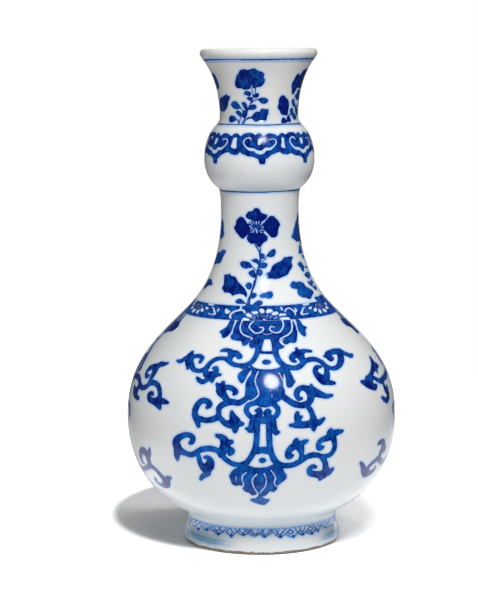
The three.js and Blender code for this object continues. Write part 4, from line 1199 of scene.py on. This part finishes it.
# A flower on its stem, and the blooms and leaves to the right and the left of it.
neck_flower = [
    area(
        (-22, 167.5), (-20, 168.8), (-17, 169.8), (-13.5, 170), (-11, 170.2), (-9, 171.2),
        (-5.5, 171.6), (-2, 171.2), (0, 170), (3, 169), (7, 168.5), (10.5, 167.8),
        (10, 166.8), (7, 165.8), (3, 164.9), (-1, 164.6), (-5, 164.5), (-8, 165),
        (-12, 165.5), (-17, 166), (-21, 166.8), depth=1.5,
    ),
    area(
        (-19.5, 156.5), (-19, 157.5), (-16.5, 158.6), (-14, 159.3), (-9.5, 159.8), (-5, 160),
        (0, 159.5), (5, 158.9), (8.5, 158), (10.5, 157), (10, 156), (8, 155), (5, 154.5),
        (2, 153.3), (-0.5, 152.3), (-3.5, 152.5), (-6, 153.5), (-9, 154), (-12.5, 153.8),
        (-15.5, 154.4), (-18, 155.3), depth=1.5,
    ),
    area(
        (-17, 164.2), (-10, 164.9), (-2, 164.8), (4, 164.4), (6.5, 161.8), (5, 159.6),
        (0, 159.7), (-8, 160), (-15, 160.2), (-17.5, 162),
        depth=0.9,
    ),
    bare(stroke(0.34, (-17, 163), (-14.4, 162.4), (-12.4, 162, 0.12))),
    bare(stroke(0.26, (-16, 164.6), (-12.6, 163.6), (-10.6, 163, 0.12))),
    bare(stroke(0.26, (-10.8, 165), (-9.2, 164), (-8.2, 163.2, 0.1))),
    bare(stroke(0.30, (-6, 165), (-5.6, 164), (-5.4, 163.2, 0.1))),
    bare(stroke(0.26, (-1.6, 165), (-2.6, 163.9), (-3.4, 163.1, 0.1))),
    bare(stroke(0.30, (4, 164.6), (1, 163.4), (-1.4, 162.7, 0.12))),
    bare(stroke(0.30, (6.8, 162.6), (3, 162), (0, 161.8, 0.12))),
    bare(stroke(0.28, (6.6, 160.4), (2.6, 160.6), (-0.6, 161.1, 0.12))),
    bare(stroke(0.26, (1.4, 159.2), (-0.8, 160), (-2.4, 160.7, 0.1))),
    bare(stroke(0.34, (-4.6, 159.3), (-5.4, 160.3), (-6.4, 161.2, 0.3), (-8.4, 161.4, 0.14))),
    bare(stroke(0.26, (-10.6, 159.4), (-10, 160.2), (-9.4, 160.8, 0.1))),
    bare(stroke(0.30, (-16.2, 160.6), (-13.4, 161), (-11.4, 161.3, 0.12))),
    dot(-6.6, 162.3, 1.2, 0.5, depth=1.2),
    # The stem, doubled under the flower, and the pairs of small leaves on it.
    fine(0.3, (-8, 153.6), (-4, 151.6), (-1.7, 149.8), (-0.6, 147.6, 0.4), (-0.5, 145, 0.45),
           (-3, 142, 0.4), (-4.5, 140), (-5.2, 137.8), (-7, 134), (-9.2, 131), (-10.3, 128),
           (-10.8, 126, 0.5), (-10.4, 124, 0.6), depth=0.9),
    fine(0.24, (-0.3, 152.6), (-0.3, 149), (-0.4, 146), depth=0.8),
    fine(0.22, (-7.2, 136), (-8.6, 133), (-9.6, 130), (-12.2, 127), (-12.4, 124.5), depth=0.8),
    area((-13.5, 124.6), (-11.5, 125.6), (-9, 125), (-2, 124.6), (-1.4, 122.8), (-13, 122.8),
         depth=0.9),
    area((-0.8, 147.6), (0.6, 149), (3, 149), (5.6, 148.1), (4.8, 146.9), (2, 146.4),
         (0, 146.7)),
    area((-12, 145.8), (-9, 146.4), (-6, 146.8), (-4, 146.3), (-1.5, 145.3), (-0.4, 144.3),
         (-2.5, 143.4), (-5, 144.3), (-9, 145)),
    area((-1.6, 143.6), (1.4, 144.5), (5, 144.6), (8.5, 144), (7.5, 142.8), (4, 142),
         (0.5, 142), (-1.8, 142.6)),
    area((-4.5, 140.5), (-2.5, 141.4), (0.5, 141.3), (2.3, 140), (0.5, 138.6), (-2, 138.3),
         (-4, 139)),
    area((-10, 129.5), (-8.5, 130.2), (-5.5, 130.2), (-4, 129.3), (-6, 128.2), (-8.6, 127.8)),
]
neck_right = [
    area(
        (30, 163), (28, 161.8), (26.5, 160.5), (25.5, 158.5), (23, 157.2), (19, 156.8),
        (15, 157), (12.5, 158), (10, 159), (7.5, 159.8), (5.5, 161), (4.5, 162.5), (5, 164),
        (7.5, 165.2), (10.5, 166.2), (13, 167.2), (17, 167.6), (20.5, 167.2), (24, 166),
        (27, 165), (28.5, 164),
        depth=1.5,
    ),
    area((8, 148), (10, 149.2), (13, 150.3), (17, 151), (20, 150.8), (20.5, 149.5),
         (18.5, 148), (14, 147.3), (10.5, 147.4)),
    fine(0.22, (8.4, 148), (5.4, 146.2), (1.4, 145), depth=0.7),
    area(
        (47, 146.5), (42, 147), (37, 146.8), (32.5, 146.8), (29, 145.8), (25.5, 145),
        (21, 144.4), (17.5, 143.7), (14, 142.8), (12.5, 141.5), (11, 140.3), (7, 139.4),
        (7.6, 137.4), (12, 137), (17, 136.7), (22, 137), (26, 137.6), (30.5, 138), (34, 139),
        (37, 140.3), (40, 141.2), (42.5, 142.5), (42.5, 144), (44, 145.5),
        depth=1.3,
    ),
    area((8.6, 139.8), (4, 138.6), (1.4, 137.3), (3.5, 136.8), (9, 137.2), depth=0.45),
    area(
        (-1.5, 129), (1, 130), (4, 130.2), (7, 130.8), (10, 130.9), (11.5, 129.8),
        (10.5, 128.5), (8, 127.6), (5.5, 127.9), (3, 128.2), (0.5, 127.9),
        depth=0.72,
    ),
    area((-7, 125), (-5.5, 126), (-3, 126.8), (-0.5, 126.9), (1, 126.2), (0.5, 125),
         (-2, 124.6), (-5, 124.4)),
]
neck_left = [
    area(
        (-41.5, 161.5), (-39.5, 162.5), (-38, 163.5), (-37.5, 165), (-34.5, 166), (-31, 167),
        (-27, 167), (-24, 166.3), (-21.5, 165.2), (-19.5, 164), (-17, 163.2), (-15.5, 162),
        (-14, 160.5), (-15.5, 159), (-19, 158.2), (-22, 157), (-25.5, 156.3), (-29, 156.8),
        (-32, 157.8), (-35, 158.7), (-38, 159.5), (-39.5, 160.5),
        depth=1.55,
    ),
    area((-26.5, 144.4), (-23, 145.2), (-18.5, 145.2), (-14.5, 144.8), (-11.5, 143.6),
         (-9.6, 142.6), (-13, 142.1), (-17, 141.8), (-21.5, 142), (-25, 143)),
    fine(0.24, (-11, 142.9), (-7, 141.5), (-4.5, 140.6), depth=0.8),
    area((-14.5, 139.8), (-11.5, 141), (-8, 141), (-6, 139.5), (-5.5, 138.3), (-7, 137.3),
         (-10.5, 138), (-13, 138.7)),
    area((-16.5, 133.8), (-14.5, 135), (-11.5, 135), (-9.5, 134), (-10, 132.5), (-12, 131.8),
         (-14.5, 132.5)),
    area(
        (-46.5, 138), (-42, 138.5), (-38, 138.8), (-36, 138), (-32, 137.8), (-28.5, 137),
        (-26.5, 135.8), (-24.5, 135), (-22, 134.2), (-20, 133.5), (-17, 132.3), (-15, 131),
        (-13.5, 129.5), (-14, 128.3), (-16.5, 129.2), (-20, 129.7), (-24, 129.5),
        (-28, 128.8), (-31, 129.7), (-35, 130), (-38.5, 130), (-41, 131), (-43.5, 132),
        (-43, 133.5), (-44, 135), (-45.5, 136.8),
        depth=1.3,
    ),
    area((-23.5, 126.3), (-21.5, 127.4), (-18.5, 127.4), (-15.5, 126.3), (-13.4, 125.4),
         (-17, 125.3), (-20, 125.2), (-22.5, 125.6)),
    fine(0.24, (-14.4, 125.6), (-11.6, 124.8)),
]
# What shows from the front of the sprays at the two sides, which differ a little.
right_spray_left = [
    area(
        (49.8, 156.5), (52, 157.5), (55, 158.7), (57, 160.3), (60, 161), (62, 162.5),
        (65, 163.8), (69, 164.3), (74, 163.4), (77, 161), (78, 158.6), (77, 156.4), (73, 154.4),
        (66, 153.6), (61, 153.9), (57, 154.8), (53, 155.5),
    ),
    area((61.6, 147.9), (64, 149.5), (66, 151), (69, 151.8), (73, 151.4), (76, 150),
         (75, 148), (70, 147.6), (65, 147.6)),
    area((69, 146.4), (73, 146.6), (78, 146), (77, 144.9), (72, 145.2), depth=0.8),
    area((53, 142.8), (55.5, 143.3), (58, 143.7), (61, 143.7), (64, 142.8), (65.5, 141.8),
         (64.5, 140), (62, 139), (59.5, 138.8), (57.5, 139.8), (55.6, 141.2)),
    fine(0.3, (65, 141.4), (70, 140.6), (78, 140.4), (86, 141), depth=0.8),
    area((60, 137.2), (63, 137.8), (66, 138.2), (70, 138.2), (76, 137.8), (78, 136.8),
         (72, 135.4), (67, 135), (64, 135.5), (61.5, 136.4)),
    area((60.5, 133.3), (62, 134), (64, 134.2), (67, 133.3), (70, 134.3), (73, 134.4),
         (75, 133), (70, 132.2), (67, 131), (64, 131.5), (61.5, 132.3)),
    area((66, 130.6), (70, 131), (76, 131), (74, 129.6), (69, 129.4), depth=0.9),
    area(
        (32, 132.9), (33.5, 134), (36, 134.8), (39, 134.9), (41.5, 134.4), (45, 134.6),
        (49, 134.2), (52.5, 133.2), (53, 132), (56, 131.2), (59, 130.5), (62, 129.3),
        (60.5, 128.3), (57, 127.7), (54, 126.8), (51, 126.1), (47.5, 126.3), (45.5, 127),
        (43, 127), (40, 127.7), (38, 129), (38.5, 130), (39.5, 131), (36, 131.6),
        (33.5, 132),
    ),
    area((57, 125.8), (60, 126.5), (66, 126.3), (72, 126.6), (78, 126), (80, 124), (60, 124)),
]
left_spray_right = [
    area(
        (-64, 157.5), (-64.5, 159), (-66.5, 160.5), (-67, 162), (-70, 164), (-75, 164.5),
        (-79, 163.4), (-81, 160), (-80, 156.2), (-75, 154.8), (-70, 155.7), (-67, 156.3),
    ),
    area(
        (-53.2, 149.7), (-56, 149.9), (-60, 150), (-64, 149.7), (-67, 149), (-70, 148.4),
        (-75, 148.3), (-80, 147), (-84, 144.4), (-82, 142.6), (-74, 142.4), (-70, 142.8),
        (-65, 143.2), (-61, 143.7), (-59, 144.7), (-58, 146), (-56.5, 147.5), (-54.5, 148.5),
    ),
    area((-61, 132.9), (-64, 133.5), (-67, 134.5), (-70, 134.9), (-75, 135), (-80, 134.4),
         (-82, 132), (-80, 130), (-76, 130), (-72, 131.3), (-70, 132), (-65, 132.4)),
]
sprays = neck_flower + neck_left + neck_right
sprays += moved(neck_flower + neck_right, 91.5, -2.4) + right_spray_left
sprays += moved(neck_flower + neck_left, -99.0, -2.6) + left_spray_right
sprays += moved(neck_flower + neck_left + neck_right, 176.5, -1.2)

neck_start = SHOULDER_JOINT + JOINT_HALF
neck_rise = NECK_JOINT - JOINT_HALF
slimmest = (NECK_SLIM, 169.0)
neck_outer = [shoulder_edge]
neck_outer += bend(shoulder_edge, (32.73, 124.44), (NECK_SLIM, 136.9), slimmest, 0.45)
neck_outer += bend(slimmest, (19.64, 173.0), (19.7, 177.2), (NECK_TOP, NECK_JOINT), 0.5)
neck_outline = neck_outer + [(NECK_TOP - SKIN, NECK_JOINT), (NECK_TOP - SKIN, neck_rise)]
neck_outline += inner_side(
    neck_outer, NECK_WALL, (BORE, neck_rise), (SHOULDER_INSIDE, neck_start), BORE - 0.6, every=10
)
neck_outline += [(SHOULDER_SLIP, neck_start), (SHOULDER_SLIP, SHOULDER_JOINT), shoulder_edge]
neck = turned("painted_neck", neck_outline, NECK_STEPS)
painted(neck, neck_outer, shoulder_flowers + sprays, ring=SHOULDER_BAND)
bake_map(neck, neck_outline, len(neck_outer))
neck_glaze = glazed(
    "painted_neck_glaze",
    pools=((179.6, 3.0, 0.10), (125.0, 1.5, 0.08)),
    roughness=0.12,
    lines=((179.55, 0.24, 19.0),),
)
neck.data.materials.append(neck_glaze)
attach(neck, "root")
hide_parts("neck")

# Slip in the joint under the bulb: the same thin ring of fired clay. A fine blue ring is drawn
# just below it.
slip_ring("neck_slip", "slip_neck", NECK_TOP - SKIN, BORE, NECK_JOINT)

# Bulb: a full round collar, thrown on its own. A chain of cloud heads hangs round it, each with a
# short pendant and a white curl inside, linked by open bars.
BULB_STEPS = 480
BULB_WALL = 3.9
BULB_WIDE = 27.8
BULB_TOP = 20.7
BULB_JOINT = 213.1

cloud_head = [
    area(
        (-21.5, 207.2), (-19.5, 208.2), (-16.5, 208.7), (-12, 208.9), (-8, 208.6),
        (-5, 207.8), (-3.2, 208.4), (-1, 208.7), (1, 208.4), (3.5, 207.5), (6, 207.6),
        (8, 208.2), (11, 208.6), (15, 208.4), (18.5, 207.8), (20.8, 207.3), (23, 208),
        (26, 208.6), (29, 208.4), (32, 207.5), (34, 207), (34, 200), (32, 198.7),
        (29, 198.3), (26, 198.4), (23, 198.9), (21, 199.6), (18, 199.3), (15, 198.8),
        (12.5, 198.4), (10, 197.6), (7.5, 196.6), (5.7, 196.1), (5.5, 195), (5, 194),
        (3, 193.7), (0, 193.9), (-1, 194.5), (-1.2, 195.6), (-2, 196.2), (-4, 196.7),
        (-5.5, 197.1), (-7, 197.4), (-9.5, 197.5), (-12.5, 197.7), (-15, 198.2),
        (-17.5, 198.7), (-19.5, 199), (-20.5, 199.7), (-22, 200.2), (-24, 200), (-24, 207.2),
        depth=1.15,
    ),
    bare(area((24.5, 206.2), (26.5, 206.7), (29.2, 206.3), (29.3, 204.5), (30, 202.6),
              (29.5, 201.6), (27.5, 201.2), (24, 201.7), (22.9, 202.3), (23.8, 204.2))),
    bare(stroke(0.36, (-9.5, 205.3, 0.25), (-10.2, 206.1, 0.4), (-12, 206.6, 0.42),
                (-14.5, 206.4, 0.36), (-16.8, 205.6, 0.32), (-17.6, 204.6, 0.36),
                (-17, 203.5, 0.4), (-15.3, 202.4, 0.42), (-13, 201.5, 0.5), (-10.5, 201, 0.75),
                (-8, 200.9, 0.8), (-6, 200.8, 0.65), (-3.6, 200, 0.8), (-1, 199.5, 1.0),
                (1.5, 199.5, 1.0), (4, 200.1, 0.9), (6, 201.1, 0.75), (8.5, 201, 0.75),
                (11, 201.2, 0.65), (13.5, 202, 0.45), (16, 203, 0.4), (17.7, 204.2, 0.42),
                (17.3, 205.3, 0.4), (15, 205.9, 0.35), (12, 205.8, 0.32), (9.4, 205.4, 0.25))),
    bare(area((-2, 206), (-0.5, 206.2), (2.2, 206), (2.2, 204.6), (1.2, 203.4), (-0.6, 203),
              (-2.3, 203.3), (-2.6, 204.3))),
]
clouds = []
for turn in (-55.0, 0.0, 52.0, 103.0, 153.5, 204.0, 254.5):
    clouds += moved(cloud_head, turn)

bulb_start = NECK_JOINT + JOINT_HALF
bulb_rise = BULB_JOINT - JOINT_HALF
widest = (BULB_WIDE, 194.2)
bulb_outer = [(NECK_TOP, NECK_JOINT), (NECK_TOP, bulb_start)]
bulb_outer += bend((NECK_TOP, bulb_start), (27.02, 184.7), (BULB_WIDE, 192.0), widest, 0.5)
bulb_outer += bend(widest, (BULB_WIDE, 196.4), (28.05, 206.7), (BULB_TOP, 212.9), 0.42)
bulb_outer += [(BULB_TOP, BULB_JOINT)]
bulb_outline = bulb_outer + [(BULB_TOP - SKIN, BULB_JOINT), (BULB_TOP - SKIN, bulb_rise)]
bulb_outline += inner_side(
    bulb_outer, BULB_WALL, (BORE, bulb_rise), (BORE, bulb_start), BORE, every=6
)
bulb_outline += [(NECK_TOP - SKIN, bulb_start), (NECK_TOP - SKIN, NECK_JOINT), bulb_outer[0]]
bulb = turned("painted_bulb", bulb_outline, BULB_STEPS)
painted(bulb, bulb_outer, clouds)
bake_map(bulb, bulb_outline, len(bulb_outer))
bulb.data.materials.append(
    glazed(
        "painted_bulb_glaze",
        roughness=0.18,
        pools=((180.4, 2.6, 0.22), (213.0, 2.4, 0.16)),
        lines=((212.75, 0.22, 19.0),),
    )
)
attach(bulb, "root")
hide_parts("bulb")

# Slip in the joint under the mouth: the same thin ring of fired clay, in the crease above the
# bulb.
slip_ring("bulb_slip", "slip_bulb", BULB_TOP - SKIN, BORE, BULB_JOINT)

# Mouth: a thrown flare with a rolled lip, whose glaze runs thin and warm along the top. Small
# leafy sprays stand round it under a fine blue ring.
MOUTH_STEPS = 480
MOUTH_WALL = 3.3
MOUTH_SLIM = (19.73, 215.9)
LIP_CENTER = (27.4, 247.6)
LIP_HALF = (2.1, 2.4)
LIP_START = -26.0
LIP_TURN = 223.0
LIP_STEPS = 21
LIP_GLAZE = (0.78, 0.775, 0.755, 1.0)

mouth_spray = [
    area(
        (-33, 232), (-32.5, 233.5), (-30, 235.5), (-28, 237), (-25, 238), (-23, 239.3),
        (-20.5, 239.8), (-17, 240), (-14, 239.6), (-11.5, 239.8), (-8, 240.2), (-5.5, 240.4),
        (-3.5, 239.8), (0, 239), (3.5, 238.5), (6, 237.5), (5.5, 236), (7, 234.8),
        (6.3, 233.5), (5, 232.5), (2, 231.5), (-1.5, 231.2), (-4, 231), (-7, 230.6),
        (-11, 231), (-12.5, 230.5), (-17, 230), (-21, 230), (-24, 230.6), (-27, 230.6),
        (-30, 230.8), (-32, 231.3),
        depth=1.1,
    ),
    bare(dot(-10, 231.6, 1.2, 0.45)),
    fine(0.2, (-5.6, 231), (-5.2, 229.4), (-5.8, 228), depth=0.7),
    fine(0.2, (-10.6, 230.8), (-9, 228.6), (-8.4, 226.6), (-10, 225), (-13, 223),
           (-16.4, 220.4, 0.3), (-20, 217, 0.3), (-24, 214.2, 0.25), (-24.6, 213.1), depth=0.75),
    fine(0.22, (-24, 217), (-28.4, 216), (-29.6, 213.2), depth=0.75),
    area((-21.5, 227.8), (-20, 229), (-17, 229.4), (-13.5, 229), (-11, 228.2), (-11.5, 227.3),
         (-14, 226.9), (-18, 227.2)),
    area((-10.5, 227.3), (-8, 227.3), (-5, 228), (-1.5, 228.3), (-0.5, 227.5), (-2, 226.3),
         (-5, 225.8), (-8, 226.3)),
    area((-18, 225.8), (-15.5, 226.4), (-11.5, 226.4), (-9.5, 225.8), (-10.5, 224.8),
         (-13.5, 224.5), (-16, 225)),
    area((-2.4, 225), (1, 225.8), (5, 226), (9.5, 225.6), (12.2, 224.6), (11, 223.6),
         (7, 223), (3, 223.3), (0, 224.3)),
    fine(0.28, (-1.6, 225), (-6, 224.8), (-11, 223.7), (-12.8, 223), depth=0.9),
    area((-44.5, 222.5), (-42, 223.6), (-38, 224.2), (-33.5, 224), (-31, 223), (-28.5, 221.8),
         (-27, 220.8), (-30, 220.6), (-35, 220.3), (-39.5, 220.8), (-42.5, 221.5)),
    fine(0.25, (-28.5, 221.4), (-26, 220.3), (-23.4, 219.4), depth=0.85),
    area((-26, 223.3), (-23, 223.9), (-20, 223.6), (-18, 222.5), (-17, 221.3), (-16.4, 220.3),
         (-18, 219.7), (-21, 220.3), (-23.5, 221.3), (-25, 222.4)),
    area((-16, 221.5), (-13, 222.3), (-8, 222.7), (-5, 222.2), (-4.2, 221.3), (-6.5, 220.3),
         (-10.5, 220), (-15, 220.2)),
    area((-36.5, 218.9), (-34, 219.5), (-30, 219.5), (-27.5, 218.8), (-26, 217.5),
         (-27, 216.6), (-30.5, 216.9), (-33.5, 217.8)),
    area((-25.5, 218.5), (-23.5, 219.5), (-19.5, 219.6), (-17.5, 218.3), (-19, 216.8),
         (-22, 216.2), (-25, 216.5)),
    area((-50, 215.3), (-47.5, 216.7), (-43, 217.1), (-38, 216.6), (-35.5, 215.3),
         (-38.5, 214.2), (-43, 213.8), (-48, 214.3)),
    fine(0.28, (-36.4, 215.2), (-32, 214.7), (-29.5, 213.2)),
    area((-11, 216.6), (-9, 217.8), (-6, 218.8), (-3, 219.2), (0, 219), (1.5, 220.2),
         (5, 220.5), (9, 220.3), (12.5, 220.2), (13, 219), (11.5, 217.5), (10.5, 216),
         (9, 214.6), (6, 214.2), (3.5, 214.8), (0.5, 215), (-2.5, 214.5), (-6, 214.3),
         (-8.5, 215), (-10.5, 215.7), depth=1.2),
    fine(0.4, (-10.4, 216.3), (-16, 216), (-20, 215.2, 0.3), (-23, 213.3, 0.25)),
]
# The sprays to the right and the left of it, which differ.
right_mouth_spray = [
    area((27, 221), (28, 222.8), (28.3, 225), (31, 226.5), (34, 227), (37.5, 226.6),
         (40.5, 225.6), (44, 224.8), (46.5, 223.5), (47.3, 221.5), (46, 219.5), (45.5, 217.5),
         (43, 217), (39, 217.2), (35.5, 217.3), (32.5, 218), (30, 219.5), depth=1.3),
    area((31.6, 213.5), (33.5, 215), (36, 216), (40, 215.7), (42, 214.8), (44.5, 216.3),
         (47.5, 216.8), (50.5, 215.7), (51.4, 214.6), (48, 213.7), (44, 213.9), (40, 213.5),
         (36, 213.2), depth=1.3),
    fine(0.3, (45, 216.4), (50, 217.4), (55, 217)),
    area((47.5, 232), (47.8, 233.5), (50, 234.5), (51, 236), (53, 237.2), (57, 237.3),
         (60, 236.5), (62, 238), (64, 239), (68, 239.3), (73, 240), (79, 239.2), (83, 236),
         (82, 232), (78, 230.4), (70, 230.2), (62, 230.5), (59.5, 229.3), (57, 228),
         (53, 227.3), (50.5, 228.5), (49, 230.3), depth=1.25),
    area((59.6, 226.5), (63, 227.5), (67, 229.3), (73, 229.4), (79, 228), (78, 225.4),
         (72, 224.4), (66, 224.8), (62, 225.5)),
    area((52.5, 223.8), (55, 225), (58.5, 224.8), (61, 223.5), (63, 222), (61, 221),
         (58, 221.3), (55, 222.3)),
    area((49.5, 219.5), (52, 220.3), (55, 220.7), (57.5, 219.7), (59, 218.8), (62, 217.9),
         (66, 217), (69.4, 216.1), (66, 215), (62, 214.5), (58.5, 215), (56, 216.3),
         (53.5, 217.5), (51, 218.3)),
    area((63, 220.8), (66, 221.3), (70, 220.4), (75, 219), (74, 217.3), (68, 217.3),
         (65, 218.5)),
    fine(0.28, (61, 222.2), (68, 221.4), (75, 222), (80, 224), depth=0.8),
]
left_mouth_spray = [
    area((-66, 233), (-67, 236), (-69, 237.5), (-73, 238), (-80, 237.6), (-88, 238.4),
         (-96, 238), (-102, 235.4), (-101, 232), (-95, 230.4), (-86, 230.2), (-78, 230.4),
         (-72, 230), (-68, 231)),
    area((-44.5, 226.8), (-48, 226.7), (-51, 227.5), (-55, 227.2), (-60, 226.5), (-66, 226),
         (-71, 225.5), (-77, 224.6), (-80, 222.4), (-77, 220), (-72, 219), (-66, 219),
         (-61, 219.2), (-57, 220), (-53, 221.3), (-51, 222.5), (-50, 223.8), (-47, 225)),
    fine(0.26, (-84, 230.6), (-83, 226), (-80, 222), (-84, 217), (-88, 213.2)),
    area((-96, 226), (-92, 227.4), (-86, 227), (-84, 225.4), (-90, 224.6)),
    area((-100, 218), (-96, 220.4), (-89, 220.2), (-85.6, 218), (-91, 216.4), (-97, 216.4)),
]
mouth_sprays = mouth_spray + right_mouth_spray + left_mouth_spray
mouth_sprays += moved(mouth_spray, 149.0) + moved(mouth_spray, 218.0)
mouth_sprays = toned(mouth_sprays, 0.15)

mouth_start = BULB_JOINT + JOINT_HALF
mouth_outer = [(BULB_TOP, BULB_JOINT), (BULB_TOP, 213.3)]
mouth_outer += bend((BULB_TOP, 213.3), (20.4, 213.9), (19.73, 214.6), MOUTH_SLIM, 0.45)
mouth_outer += bend(MOUTH_SLIM, (19.73, 229.4), (23.3, 238.7), (28.25, 245.0), 0.43)
lip = []
for i in range(LIP_STEPS + 1):
    turn = math.radians(LIP_START + LIP_TURN * i / LIP_STEPS)
    out, up = LIP_HALF[0] * math.cos(turn), LIP_HALF[1] * math.sin(turn)
    lip.append((LIP_CENTER[0] + out, LIP_CENTER[1] + up))
mouth_outline = mouth_outer + lip
mouth_outline += inner_side(
    mouth_outer, MOUTH_WALL, lip[-1], (BORE, mouth_start), BORE, every=6
)[1:]
mouth_outline += [(BULB_TOP - SKIN, mouth_start), (BULB_TOP - SKIN, BULB_JOINT), mouth_outer[0]]
mouth = turned("painted_mouth", mouth_outline, MOUTH_STEPS)
painted(mouth, mouth_outer, mouth_sprays)
bake_map(mouth, mouth_outline, len(mouth_outer) + len(lip))
mouth.data.materials.append(
    glazed(
        "painted_mouth_glaze",
        roughness=0.14,
        glaze=LIP_GLAZE,
        pools=((213.6, 1.8, 0.2), (244.2, 1.4, 0.22)),
        lines=((244.6, 0.28, 27.0), (243.3, -0.02, 27.0)),
    )
)
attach(mouth, "root")
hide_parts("mouth")
